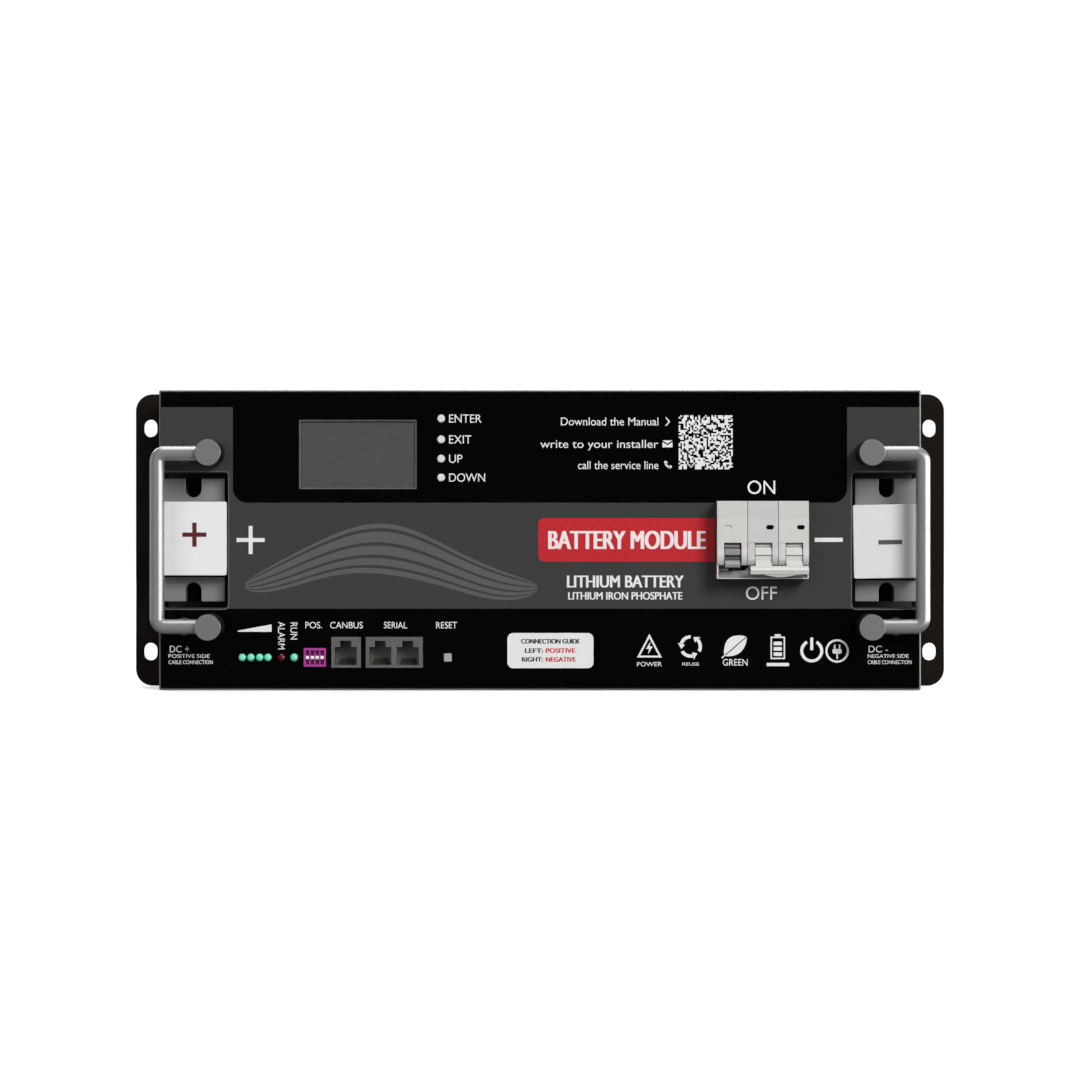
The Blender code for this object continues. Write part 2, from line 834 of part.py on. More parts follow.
def make_breaker_toggle():
    """The two poles' drums and arms, joined by the bar that the thumb pushes."""
    drum = make_drum("breaker_toggle", 1)
    second = make_drum("breaker_toggle_second_drum", 2)
    arms = []
    for index in (1, 2):
        left = BREAKER_LEFT + index * MODULE_WIDTH
        arms.append(
            lever_box(
                f"toggle_arm_{index}",
                left + WINDOW[0] + 2 * GAP,
                left + WINDOW[1] - 2 * GAP,
                (LEVER_ROOT, TOGGLE_ARM[0]),
                TOGGLE_ARM[1],
            )
        )
    bar = lever_box("toggle_bar", *TOGGLE_BAR_X, TOGGLE_BAR_REACH, TOGGLE_BAR_THICKNESS)
    return finish(weld(drum, second, *arms, bar), white_plastic(), 40)


def make_trip_lever():
    lever = make_drum("shunt_trip_lever", 0)
    left = BREAKER_LEFT + WINDOW[0] + 2 * GAP
    width, reach, thickness = TRIP_TIP
    tip = lever_box("trip_lever_tip", left, left + width, (LEVER_ROOT, reach), thickness)
    return finish(weld(lever, tip), lever_plastic(), 40)


def make_din_rail():
    """A hat-section rail behind the breaker."""
    lip, channel, wall = 0.0175, 0.0125, 0.001
    front = FRONT + DIN_RAIL_FRONT
    back = front + DIN_RAIL_DEPTH
    outer = [(front, lip), (front + wall, lip), (front + wall, channel + wall), (back, channel + wall)]
    inner = [(back - wall, channel), (front, channel)]
    outline = [(y, MID_Z + z) for y, z in outer]
    outline += [(y, MID_Z - z) for y, z in reversed(outer)]
    outline += [(y, MID_Z - z) for y, z in reversed(inner)]
    outline += [(y, MID_Z + z) for y, z in inner]
    return finish(prism("din_rail", outline, 0, *DIN_RAIL_X), zinc_steel())


def make_din_bracket():
    """The upright that holds the rail, with a foot on the tray's floor."""
    front = FRONT + DIN_RAIL_FRONT + DIN_RAIL_DEPTH + GAP
    sheet, foot = 0.002, 0.022
    floor = SHEET + GAP
    high = MID_Z + 0.022
    outline = [
        (front, floor),
        (front, high),
        (front + sheet, high),
        (front + sheet, floor + sheet),
        (front + foot, floor + sheet),
        (front + foot, floor),
    ]
    return finish(prism("din_rail_bracket", outline, 0, *DIN_BRACKET_X), zinc_steel())


# Controls.


def make_display_window():
    left, right, low, high = DISPLAY
    front, back = DISPLAY_PANE
    window = box("display_window", (left, FRONT + front, low), (right, FRONT + back, high))
    return finish(window, display_glass())


def make_display_module():
    left, right, low, high = DISPLAY
    front, back, grow = DISPLAY_MODULE
    module = box(
        "display_module",
        (left - grow, FRONT + front, low - grow),
        (right + grow, FRONT + back, high + grow),
    )
    return finish(module, grey_plastic())


def make_menu_button(label, z):
    """A plunger with a collar behind the plate."""
    start, end, grow = KEY_COLLAR
    profile = (
        (-0.0006, BUTTON_R - 0.0003),
        (-0.0003, BUTTON_R),
        (start, BUTTON_R),
        (start, BUTTON_R + grow),
        (end, BUTTON_R + grow),
    )
    button = turned(f"{label}_button", (BUTTON_X, FRONT, z), (0, 1, 0), profile, 16)
    return finish(button, white_plastic(), 40)


def make_reset_button():
    left, right, low, high = RESET
    cap = box("reset_button", (left, FRONT - 0.0004, low), (right, FRONT + 0.0045, high))
    collar = box(
        "reset_collar",
        (left - 0.001, FRONT + 0.0042, low - 0.001),
        (right + 0.001, FRONT + 0.0060, high + 0.001),
    )
    return finish(weld(cap, collar), white_plastic())


def lens(name, x):
    profile = tuple((along, LED_R * share) for along, share in LENS_ROUND)
    return turned(name, (x, FRONT, LED_Z), (0, 1, 0), profile, 16)


def light_bar(name, left, right):
    """The clear bar behind the plate that the lenses stand on."""
    front, back, half = LIGHT_PIPE
    return box(name, (left, FRONT + front, LED_Z - half), (right, FRONT + back, LED_Z + half))


def make_charge_light_pipe():
    """One clear moulding: four domed lenses on a bar behind the plate."""
    lenses = [lens(f"charge_lens_{i}", x) for i, x in enumerate(CHARGE_LEDS)]
    pipe = light_bar("charge_level_light_pipe", CHARGE_LEDS[0] - LED_R, CHARGE_LEDS[-1] + LED_R)
    return finish(weld(pipe, *lenses), green_lens(), 40)


def make_status_light_pipe(label, x, surface):
    pipe = light_bar(f"{label}_light_pipe", x - LIGHT_PIPE[2], x + LIGHT_PIPE[2])
    return finish(weld(pipe, lens(f"{label}_lens", x)), surface, 40)


def slider_centres():
    middle = (SWITCH_BLOCK[0] + SWITCH_BLOCK[1]) / 2
    return [middle + SLIDER_PITCH * (i - 1.5) for i in range(4)]


def make_address_switch():
    left, right, low, high = SWITCH_BLOCK
    body = box(
        "address_switch_body", (left, out(CONTROL_LIFT), low), (right, FRONT + SWITCH_DEPTH, high)
    )
    half_width, half_height, depth = SLIDER_SLOT
    slots = []
    for i, x in enumerate(slider_centres()):
        slots.append(
            box(
                f"address_slot_{i}",
                (x - half_width, FRONT - 0.003, SLIDER_Z - half_height),
                (x + half_width, FRONT + depth, SLIDER_Z + half_height),
            )
        )
    return finish(cut(body, join(slots[0], slots[1:])), switch_plastic())


def make_address_slider(index, x):
    wide, tall = SLIDER_HALF
    slider = box(
        f"address_slider_{index + 1}",
        (x - wide, FRONT - 0.0008, SLIDER_Z - tall),
        (x + wide, FRONT + 0.0009, SLIDER_Z + tall),
    )
    return finish(slider, white_plastic())


def make_socket(name, span, centres):
    """A jack housing with one keyed mouth for each plug."""
    body = box(
        name,
        (span[0], out(CONTROL_LIFT), SOCKET_Z[0]),
        (span[1], FRONT + SOCKET_DEPTH, SOCKET_Z[1]),
    )
    half, key = JACK_WIDTH / 2, JACK_KEY
    low, shoulder, high = JACK_Z
    mouths = []
    for i, x in enumerate(centres):
        outline = [
            (x - half, low),
            (x + half, low),
            (x + half, shoulder),
            (x + key, shoulder),
            (x + key, high),
            (x - key, high),
            (x - key, shoulder),
            (x - half, shoulder),
        ]
        mouths.append(prism(f"{name}_mouth_{i}", outline, 1, FRONT - 0.004, FRONT + MOUTH_DEPTH))
    return finish(cut(body, join(mouths[0], mouths[1:])), grey_plastic())


def board_box(name, size):
    left, right, low, high, front, back = size
    return finish(box(name, (left, FRONT + front, low), (right, FRONT + back, high)), board_laminate())


def make_interface_board():
    """The board behind the front plate that carries the display, keys, lights and sockets."""
    return board_box("interface_board", INTERFACE_BOARD)


# Battery management and cells.


def make_bms_board():
    return board_box("bms_board", BMS_BOARD)


def make_bms_heatsink():
    """A finned plate along the board's switching transistors."""
    fins, fin, base, height = HEATSINK_FIN
    low, high = HEATSINK_Z
    front = FRONT + HEATSINK_FRONT
    pitch = (high - low - fin) / (fins - 1)
    outline = [(front, high), (front, low)]
    for i in range(fins):
        z = low + i * pitch
        outline += [(front + height, z), (front + height, z + fin)]
        if i < fins - 1:
            outline += [(front + base, z + fin), (front + base, z + pitch)]
    return finish(prism("bms_heatsink", outline, 0, *HEATSINK_X), aluminium())


def make_cell_module(name, column, row):
    """Four prismatic cells side by side; fine grooves mark the joints between them."""
    length = CELLS_PER_MODULE * CELL_THICKNESS
    left = CELL_COLUMN_GAP if column else -CELL_COLUMN_GAP - CELL_WIDTH
    start = CELL_START + row * length + GAP / 2
    low = SHEET + 2 * GAP
    groove, depth = CELL_GROOVE
    high = low + CELL_HEIGHT
    outline = [(start, low), (start + length - GAP, low)]
    top = [(start + length - GAP, high)]
    for i in reversed(range(1, CELLS_PER_MODULE)):
        seam = start + i * CELL_THICKNESS
        top += [
            (seam + groove, high),
            (seam + groove, high - depth),
            (seam - groove, high - depth),
            (seam - groove, high),
        ]
    outline += top + [(start, high)]
    return finish(prism(name, outline, 0, left, left + CELL_WIDTH), cell_wrap())


def make_compression_plate(name, front):
    plate = box(
        name,
        (-PLATE_HALF_WIDTH, front, SHEET + GAP),
        (PLATE_HALF_WIDTH, front + PLATE_THICKNESS, PLATE_HIGH),
    )
    return finish(plate, aluminium())


def make_link_carrier():
    """The moulded tray on top of the cells, with the links that join them standing in it."""
    length = 2 * CELLS_PER_MODULE * CELL_THICKNESS
    low = SHEET + 3 * GAP + CELL_HEIGHT
    carrier = box(
        "cell_link_carrier",
        (-CELL_WIDTH + CARRIER_INSET, CELL_START + CARRIER_INSET, low),
        (CELL_WIDTH - CARRIER_INSET, CELL_START + length - CARRIER_INSET, low + 0.003),
    )
    links = []
    for column in (-1, 1):
        for row in range(4):
            y = CELL_START + (2 * row + 1) * CELL_THICKNESS
            for x in LINK_X:
                centre = column * x
                links.append(
                    box(
                        f"cell_link_{column + 1}_{row}_{round(x * 1000)}",
                        (centre - LINK_HALF[0], y - LINK_HALF[1], low + 0.002),
                        (centre + LINK_HALF[0], y + LINK_HALF[1], low + 0.005),
                    )
                )
    return finish(weld(carrier, join(links[0], links[1:])), grey_plastic())


def build():
    clear_scene()
    make_base_tray()
    make_top_cover()
    make_rear_panel()
    make_front_bezel()
    make_front_overlay()
    for label, side in (("left", -1), ("right", 1)):
        make_rack_ear(f"rack_ear_{label}", side)
        make_handle_bar(f"handle_bar_{label}", side)
        for height, level in (("lower", -1), ("upper", 1)):
            make_handle_post(f"handle_post_{label}_{height}", side, level)
    for i, (x, z) in enumerate(screw_places()):
        make_panel_screw(f"panel_screw_{i + 1}", x, z)
    for label, side in (("positive", -1), ("negative", 1)):
        make_terminal_base(f"{label}_terminal_base", side)
        make_busbar(f"{label}_busbar", side)
        make_terminal_bolt(f"{label}_terminal_bolt", side)
        make_terminal_cover(f"{label}_terminal_cover", side)
    modules = ("shunt_trip_module", "breaker_pole_left", "breaker_pole_right")
    for index, name in enumerate(modules):
        make_breaker_module(name, index)
    make_breaker_toggle()
    make_trip_lever()
    make_din_rail()
    make_din_bracket()
    make_display_window()
    make_display_module()
    for label, z in BUTTON_HEIGHTS.items():
        make_menu_button(label, z)
    make_reset_button()
    make_charge_light_pipe()
    make_status_light_pipe("alarm", STATUS_LEDS["alarm"], red_lens())
    make_status_light_pipe("run", STATUS_LEDS["run"], green_lens())
    make_address_switch()
    for index, x in enumerate(slider_centres()):
        make_address_slider(index, x)
    make_socket("canbus_socket", CAN_SOCKET, JACK_CENTRES["canbus"])
    make_socket("serial_sockets", SERIAL_SOCKET, JACK_CENTRES["serial"])
    make_interface_board()
    make_bms_board()
    make_bms_heatsink()
    for column, side in enumerate(("left", "right")):
        for row, place in enumerate(("front", "rear")):
            make_cell_module(f"cell_module_{side}_{place}", column, row)
    stack = 2 * CELLS_PER_MODULE * CELL_THICKNESS
    make_compression_plate("front_compression_plate", CELL_START - GAP - PLATE_THICKNESS)
    make_compression_plate("rear_compression_plate", CELL_START + stack + GAP)
    make_link_carrier()


build()
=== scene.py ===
"""Server rack battery: fine meshes, materials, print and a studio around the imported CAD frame."""

import math
import random

import bmesh
import bpy
from mathutils import Matrix, Vector


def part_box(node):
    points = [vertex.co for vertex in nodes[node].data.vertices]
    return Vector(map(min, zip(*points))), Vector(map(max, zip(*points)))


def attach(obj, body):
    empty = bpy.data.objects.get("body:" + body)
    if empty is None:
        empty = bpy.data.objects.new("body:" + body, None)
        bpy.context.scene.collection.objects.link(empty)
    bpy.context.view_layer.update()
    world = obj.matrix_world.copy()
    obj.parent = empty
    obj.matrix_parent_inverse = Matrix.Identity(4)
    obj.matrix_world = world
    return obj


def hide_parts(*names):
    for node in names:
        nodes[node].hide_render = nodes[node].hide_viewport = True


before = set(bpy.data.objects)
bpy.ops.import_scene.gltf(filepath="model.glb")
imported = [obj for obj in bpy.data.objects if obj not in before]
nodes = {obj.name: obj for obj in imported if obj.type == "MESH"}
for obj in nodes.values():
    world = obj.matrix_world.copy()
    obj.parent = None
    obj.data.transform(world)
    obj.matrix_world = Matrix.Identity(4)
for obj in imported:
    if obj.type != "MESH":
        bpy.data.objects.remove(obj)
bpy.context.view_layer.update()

# Places read from the frame, in metres.
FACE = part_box("front_overlay")[0].y
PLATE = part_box("front_bezel")[0].y
PAN_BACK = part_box("front_bezel")[1].y
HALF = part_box("front_bezel")[1].x
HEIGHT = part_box("front_bezel")[1].z
MID = HEIGHT / 2
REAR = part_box("rear_panel")[1].y
FILM_LOW, FILM_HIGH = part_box("front_overlay")

# Sheet thickness, the gap between touching pieces, the thickness of a layer of ink, and steps in a corner.
SHEET = 0.0015
CLEAR = 0.0003
INK = 0.00005
STEPS = 8

# Radii of round features.
NOTCH_R = 0.002
LENS_R = 0.00215
DOME_R = 0.93 * LENS_R
BUTTON_R = 0.00225
SCREW_R = 0.00525
SCREW_SHANK_R = SCREW_R - 0.0025
LID_SCREW_R = 0.0034
BOLT_HOLE_R = 0.0043

# Controls and rack slots: the middles of the slots and of each socket's mouths, across and up.
RESET_FLANGE = 0.001
RACK_SLOT_X = 0.23255
RACK_SLOT_Z = 0.066675
SOCKET_CENTRES = {"canbus_socket": (-0.11255,), "serial_sockets": (-0.09253, -0.0766)}

# The film's grey field: a column up each side and a band between them.
COLUMN_INNER = 0.178
COLUMN_HIGH = 0.164
BAND_LOW = 0.0472
BAND_HIGH = 0.1086
BAND_R = 0.0084

# The terminal caps: width, height and how far the right one leans.
CAP_SIZE = (0.0383, 0.0429)
CAP_TILT = math.radians(-1.0)

# The breaker: modules side by side, each with a window for a drum on one shared axis.
MODULE_PITCH = 0.01765
WINDOW = (0.0040, 0.0140)
WINDOW_HIGH = 0.08545
NOSE_LOW, NOSE_HIGH = MID - 0.0224, MID + 0.0224
NOSE_BEND = 0.0993
CHEEK_LOW = 0.0722
BREAKER_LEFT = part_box("shunt_trip_module")[0].x
BREAKER_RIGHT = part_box("breaker_pole_right")[1].x
DRUM_R = 0.0092
GROOVE = 0.0016
GROOVE_R = DRUM_R - GROOVE
AXIS_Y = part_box("shunt_trip_lever")[1].y - DRUM_R
AXIS_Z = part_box("shunt_trip_lever")[1].z - DRUM_R
LEVER_TURN = math.radians(34.8)
RECESS = FACE - 0.0042

# How far the camera stands in front of the film.
CAMERA_REACH = 1.478


def out(height):
    """The Y of a point this far in front of the film's face."""
    return FACE - height


def srgb(level):
    """Linear value of an sRGB level from 0 to 255."""
    share = level / 255
    return share / 12.92 if share <= 0.04045 else ((share + 0.055) / 1.055) ** 2.4


def grey(level):
    return (srgb(level),) * 3


def tint(red, green, blue):
    return (srgb(red), srgb(green), srgb(blue))


# Mesh helpers.


def place(obj, surface, smooth=None):
    """Set the material, unless the object already has its own, and shade it smooth below an angle."""
    if not obj.data.materials:
        obj.data.materials.append(surface)
    if smooth:
        obj.data.shade_smooth()
        obj.data.set_sharp_from_angle(angle=math.radians(smooth))
        weighted = obj.modifiers.new("weighted", "WEIGHTED_NORMAL")
        weighted.keep_sharp = True
        settle(obj)


def tones(obj, first, *others):
    """Give an object several materials: others are (surface, test) pairs, and the last passed test wins."""
    for made in [first] + [other for other, _ in others]:
        obj.data.materials.append(made)
    for face in obj.data.polygons:
        face.material_index = max([0] + [i + 1 for i, (_, test) in enumerate(others) if test(face)])


def add_object(name, data):
    obj = bpy.data.objects.new(name, data)
    bpy.context.scene.collection.objects.link(obj)
    return obj


def as_object(name, mesh):
    data = bpy.data.meshes.new(name)
    mesh.to_mesh(data)
    mesh.free()
    return add_object(name, data)


def from_bmesh(name, mesh):
    """An object of a closed bmesh, with its faces turned outwards."""
    bmesh.ops.recalc_face_normals(mesh, faces=mesh.faces)
    return as_object(name, mesh)


def evaluated_mesh(obj):
    """A copy of an object's mesh with its modifiers applied."""
    bpy.context.view_layer.update()
    graph = bpy.context.evaluated_depsgraph_get()
    return bpy.data.meshes.new_from_object(obj.evaluated_get(graph))


def thicken(mesh, axis, reach):
    """Extrude a flat bmesh along an axis into a closed one."""
    grown = bmesh.ops.extrude_face_region(mesh, geom=list(mesh.faces))
    shift = Vector((0.0, 0.0, 0.0))
    shift[axis] = reach
    moved = [item for item in grown["geom"] if isinstance(item, bmesh.types.BMVert)]
    bmesh.ops.translate(mesh, verts=moved, vec=shift)


def skin(mesh, rings):
    """Join rings of as many points each into a closed tube."""
    count = len(rings[0])
    for first, second in zip(rings, rings[1:]):
        for i in range(count):
            j = (i + 1) % count
            mesh.faces.new((first[i], first[j], second[j], second[i]))
    mesh.faces.new(rings[0])
    mesh.faces.new(rings[-1])


def facing(centre, axis):
    """The matrix that turns +Z along an axis and moves the origin to a centre."""
    turn = Vector((0.0, 0.0, 1.0)).rotation_difference(Vector(axis)).to_matrix().to_4x4()
    return Matrix.Translation(Vector(centre)) @ turn


def box(name, low, high):
    mesh = bmesh.new()
    bmesh.ops.create_cube(mesh, size=1.0)
    low, high = Vector(low), Vector(high)
    for vertex in mesh.verts:
        share = vertex.co + Vector((0.5, 0.5, 0.5))
        vertex.co = Vector(low[i] + (high[i] - low[i]) * share[i] for i in range(3))
    return from_bmesh(name, mesh)


def prism(name, outline, axis, low, high):
    """Extrude a closed outline along an axis. The outline's pairs are the other two axes in X, Y, Z order."""
    others = [i for i in range(3) if i != axis]
    mesh = bmesh.new()
    ring = []
    for pair in outline:
        point = [0.0, 0.0, 0.0]
        point[axis] = low
        point[others[0]], point[others[1]] = pair
        ring.append(mesh.verts.new(point))
    mesh.faces.new(ring)
    thicken(mesh, axis, high - low)
    return from_bmesh(name, mesh)


def plate(name, outline, front, back):
    """Extrude an outline of (X, Z) pairs between two Y values."""
    return prism(name, outline, 1, front, back)


def turned(name, centre, axis, profile, segments=48):
    """A round solid about an axis through centre: profile is (distance along the axis, radius) pairs."""
    mesh = bmesh.new()
    rings = []
    for along, radius in profile:
        ring = bmesh.ops.create_circle(mesh, segments=segments, radius=radius, cap_ends=False)["verts"]
        bmesh.ops.translate(mesh, verts=ring, vec=(0.0, 0.0, along))
        rings.append(ring)
    skin(mesh, rings)
    mesh.transform(facing(centre, axis))
    return from_bmesh(name, mesh)


def round_plug(name, x, z, radius, front, back):
    """A plain cylinder between two Y values."""
    return turned(name, (x, 0, z), (0, 1, 0), ((front, radius), (back, radius)), 32)


def arc(centre, radius, start, end, steps=STEPS):
    """Points of an arc, with the angles in degrees, both ends included."""
    angles = [math.radians(start + (end - start) * i / steps) for i in range(steps + 1)]
    return [(centre[0] + radius * math.cos(a), centre[1] + radius * math.sin(a)) for a in angles]


def rounded(left, right, low, high, radius, steps=STEPS):
    return (
        arc((left + radius, low + radius), radius, 180, 270, steps)
        + arc((right - radius, low + radius), radius, 270, 360, steps)
        + arc((right - radius, high - radius), radius, 0, 90, steps)
        + arc((left + radius, high - radius), radius, 90, 180, steps)
    )


def stadium(x, z, width, height, steps=STEPS):
    radius = min(width, height) / 2 - 1e-5
    return rounded(x - width / 2, x + width / 2, z - height / 2, z + height / 2, radius, steps)


def mirrored(outline, side):
    """An outline, or its mirror image about the object's middle where side is -1."""
    return [(side * across, other) for across, other in outline]


def plus_outline(size, width, x, z):
    """A plus sign round a point: each arm is the right one's three corners, a quarter turn further round."""
    a, b = size / 2, width / 2
    arm = ((a, -b), (a, b), (b, b))
    turns = ((1, 0), (0, 1), (-1, 0), (0, -1))
    return [(x + p * c - q * d, z + p * d + q * c) for c, d in turns for p, q in arm]


def node_middle(name):
    """X and Z of the middle of a CAD node."""
    low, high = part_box(name)
    return (low.x + high.x) / 2, (low.z + high.z) / 2


def node_span(name):
    """How near to and how far from the object's middle a CAD node reaches across."""
    low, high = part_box(name)
    return min(abs(low.x), abs(high.x)), max(abs(low.x), abs(high.x))


def fused(name, objects):
    """Put several separate meshes into one object."""
    mesh = bmesh.new()
    for obj in objects:
        mesh.from_mesh(obj.data)
    for obj in objects:
        bpy.data.objects.remove(obj, do_unlink=True)
    return as_object(name, mesh)


def settle(obj, spare=()):
    """Apply an object's modifiers, and remove the helpers they used."""
    data = evaluated_mesh(obj)
    obj.modifiers.clear()
    obj.data = data
    for other in spare:
        bpy.data.objects.remove(other, do_unlink=True)
    return obj


def boolean(obj, others, operation):
    for other in others:
        other.hide_render = True
        modifier = obj.modifiers.new(operation, "BOOLEAN")
        modifier.operation = operation
        modifier.solver = "EXACT"
        modifier.object = other
    return settle(obj, others)


def cut(obj, *others):
    return boolean(obj, others, "DIFFERENCE")


def weld(obj, *others):
    return boolean(obj, others, "UNION")


def bevel(obj, width, segments=3, angle=35, edge=-1):
    """Round the sharp edges. The new faces take material slot edge, or their neighbours' with -1."""
    modifier = obj.modifiers.new("bevel", "BEVEL")
    modifier.material = edge
    modifier.width = width
    modifier.segments = segments
    modifier.limit_method = "ANGLE"
    modifier.angle_limit = math.radians(angle)
    modifier.miter_outer = "MITER_ARC"
    return settle(obj)


def clean(obj):
    """Merge the doubled points that a boolean leaves."""
    mesh = bmesh.new()
    mesh.from_mesh(obj.data)
    bmesh.ops.remove_doubles(mesh, verts=mesh.verts, dist=1e-6)
    bmesh.ops.dissolve_degenerate(mesh, edges=mesh.edges, dist=1e-6)
    mesh.to_mesh(obj.data)
    mesh.free()
    return obj


def piece(obj, surface, slot, body="case", stands_for=(), smooth=30):
    """Give a finished mesh its material, body and the CAD nodes it stands for; the slot is not used."""
    place(obj, surface, smooth)
    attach(obj, body)
    if stands_for:
        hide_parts(*stands_for)
    return obj


# Materials. Every one is built from nodes, with its grain in object space, in metres.


def new_material(name):
    made = bpy.data.materials.new(name)
    made.use_nodes = True
    return made, made.node_tree


def node(tree, kind, **values):
    made = tree.nodes.new(kind)
    for key, value in values.items():
        if key in made.inputs:
            made.inputs[key].default_value = value
        else:
            setattr(made, key, value)
    return made


def noise(tree, scale, detail, stretch=(1.0, 1.0, 1.0)):
    """Noise in object space: scale is in features per metre."""
    places = node(tree, "ShaderNodeTexCoord")
    mapping = node(tree, "ShaderNodeMapping", Scale=stretch)
    made = node(tree, "ShaderNodeTexNoise", Scale=scale, Detail=detail, Roughness=0.55)
    tree.links.new(places.outputs["Object"], mapping.inputs["Vector"])
    tree.links.new(mapping.outputs["Vector"], made.inputs["Vector"])
    return made


def ramp(tree, source, stops):
    made = tree.nodes.new("ShaderNodeValToRGB")
    elements = made.color_ramp.elements
    while len(elements) < len(stops):
        elements.new(0.5)
    for element, (position, colour) in zip(elements, stops):
        element.position = position
        element.color = (*colour, 1.0)
    tree.links.new(source, made.inputs["Fac"])
    return made


def remap(tree, source, old, new):
    """Map a value from one range to another, each given as (low, high)."""
    made = node(tree, "ShaderNodeMapRange")
    for label, value in zip(("From Min", "From Max", "To Min", "To Max"), (*old, *new)):
        made.inputs[label].default_value = value
    tree.links.new(source, made.inputs["Value"])
    return made.outputs["Result"]


def maths(tree, kind, operation, first, second):
    """A maths node of two linked inputs, or of a linked one and a number."""
    made = node(tree, kind, operation=operation)
    tree.links.new(first, made.inputs[0])
    if isinstance(second, float):
        made.inputs[1].default_value = second
    else:
        tree.links.new(second, made.inputs[1])
    return made.outputs["Value"]


def scuff_and_sheen_edges(tree, colour, edge_colour, amount, radius):
    """Mix in a lighter colour where the surface is sharply convex: partly worn paint, partly a painted
    highlight along the edges.
    """
    bend = node(tree, "ShaderNodeBevel", samples=4)
    bend.inputs["Radius"].default_value = radius
    flat = node(tree, "ShaderNodeNewGeometry").outputs["Normal"]
    dot = maths(tree, "ShaderNodeVectorMath", "DOT_PRODUCT", bend.outputs["Normal"], flat)
    share = remap(tree, dot, (1.0, 0.8), (0.0, amount))
    mix = node(tree, "ShaderNodeMix", data_type="RGBA")
    tree.links.new(share, mix.inputs["Factor"])
    tree.links.new(colour, mix.inputs["A"])
    mix.inputs["B"].default_value = (*edge_colour, 1.0)
    return mix.outputs["Result"]


def surface(
    name,
    colour,
    vary=0.08,
    roughness=(0.3, 0.4),
    metallic=0.0,
    grain=900.0,
    bump=0.02,
    bump_size=0.00002,
    stretch=(1.0, 1.0, 1.0),
    specular=0.5,
    coat=0.0,
    coat_roughness=0.05,
    edge_scuff_and_sheen=None,
):
    """A shader with broad colour variation, a fine grain in the bump and uneven roughness."""
    made, tree = new_material(name)
    shader = tree.nodes["Principled BSDF"]
    broad = noise(tree, 35.0, 3.0)
    fine = noise(tree, grain, 5.0, stretch)
    dark = tuple(channel * (1 - vary) for channel in colour)
    light = tuple(min(1.0, channel * (1 + vary)) for channel in colour)
    total = maths(tree, "ShaderNodeMath", "ADD", broad.outputs["Fac"], fine.outputs["Fac"])
    mean = maths(tree, "ShaderNodeMath", "MULTIPLY", total, 0.5)
    shades = ramp(tree, mean, ((0.35, dark), (0.65, light)))
    base = shades.outputs["Color"]
    # Lighter edges: partly worn paint, partly a painted highlight.
    if edge_scuff_and_sheen:
        base = scuff_and_sheen_edges(tree, base, *edge_scuff_and_sheen)
    tree.links.new(base, shader.inputs["Base Color"])
    tree.links.new(remap(tree, fine.outputs["Fac"], (0.3, 0.7), roughness), shader.inputs["Roughness"])
    shader.inputs["Metallic"].default_value = metallic
    shader.inputs["Specular IOR Level"].default_value = specular
    shader.inputs["Coat Weight"].default_value = coat
    shader.inputs["Coat Roughness"].default_value = coat_roughness
    relief = node(tree, "ShaderNodeBump", Strength=bump, Distance=bump_size)
    tree.links.new(fine.outputs["Fac"], relief.inputs["Height"])
    tree.links.new(relief.outputs["Normal"], shader.inputs["Normal"])
    return made


def powder_coat():
    """Satin black paint over steel: the orange-peel is about half a millimetre across."""
    return surface(
        "powder_coat", tint(34, 30, 27), vary=0.12, roughness=(0.36, 0.48), grain=1800.0,
        bump=0.35, bump_size=0.00003, specular=0.45,
    )


def powder_edge_scuff_and_sheen():
    """The same paint where folding and handling have thinned it, made lighter there as a painted highlight
    along the edges.
    """
    return surface(
        "powder_edge_scuff_and_sheen", tint(104, 97, 91), vary=0.12, roughness=(0.3, 0.4), grain=1400.0,
        bump=0.1, metallic=0.2,
    )


def ear_coat():
    return surface(
        "ear_coat", tint(25, 20, 17), vary=0.15, roughness=(0.34, 0.5), grain=1500.0,
        bump=0.3, bump_size=0.00003, specular=0.08, edge_scuff_and_sheen=(tint(96, 88, 82), 0.35, 0.0004),
    )


def film_black():
    return surface(
        "film_black", grey(4), vary=0.25, roughness=(0.07, 0.13), grain=500.0,
        bump=0.03, bump_size=0.00001, specular=0.05,
    )


def film_grey():
    return surface(
        "film_grey", tint(60, 61, 60), vary=0.05, roughness=(0.12, 0.2), grain=600.0,
        bump=0.03, bump_size=0.00001, specular=0.16,
    )


def ink(name, colour, vary=0.03):
    return surface(
        name, colour, vary=vary, roughness=(0.22, 0.32), grain=2500.0,
        bump=0.06, bump_size=0.00001, specular=0.25,
    )


def satin_steel(name, stretch, level=154):
    """Drawn steel with fine lines along the bar."""
    return surface(
        name, grey(level), vary=0.03, roughness=(0.31, 0.34), metallic=0.5, grain=2600.0,
        bump=0.003, bump_size=0.00001, stretch=stretch,
    )


def shaded_post_steel():
    """The posts' turned sides, painted dark as shade."""
    return surface(
        "shaded_post_steel", grey(34), vary=0.1, roughness=(0.4, 0.5), metallic=0.3, grain=1500.0,
        bump=0.05, bump_size=0.00001, stretch=(1.0, 8.0, 1.0), specular=0.2,
    )


def screw_black():
    return surface(
        "screw_black", grey(46), vary=0.12, roughness=(0.35, 0.5), metallic=0.3, grain=1500.0,
        bump=0.1, specular=0.25,
    )


def zinc_plate():
    return surface(
        "zinc_plate", tint(168, 166, 158), vary=0.14, roughness=(0.24, 0.42), metallic=0.95, grain=900.0,
        bump=0.12, edge_scuff_and_sheen=(grey(235), 0.4, 0.0003),
    )


def dark_zinc():
    return surface(
        "dark_zinc", grey(66), vary=0.2, roughness=(0.28, 0.45), metallic=0.85, grain=900.0,
        bump=0.12, edge_scuff_and_sheen=(grey(190), 0.4, 0.0003),
    )


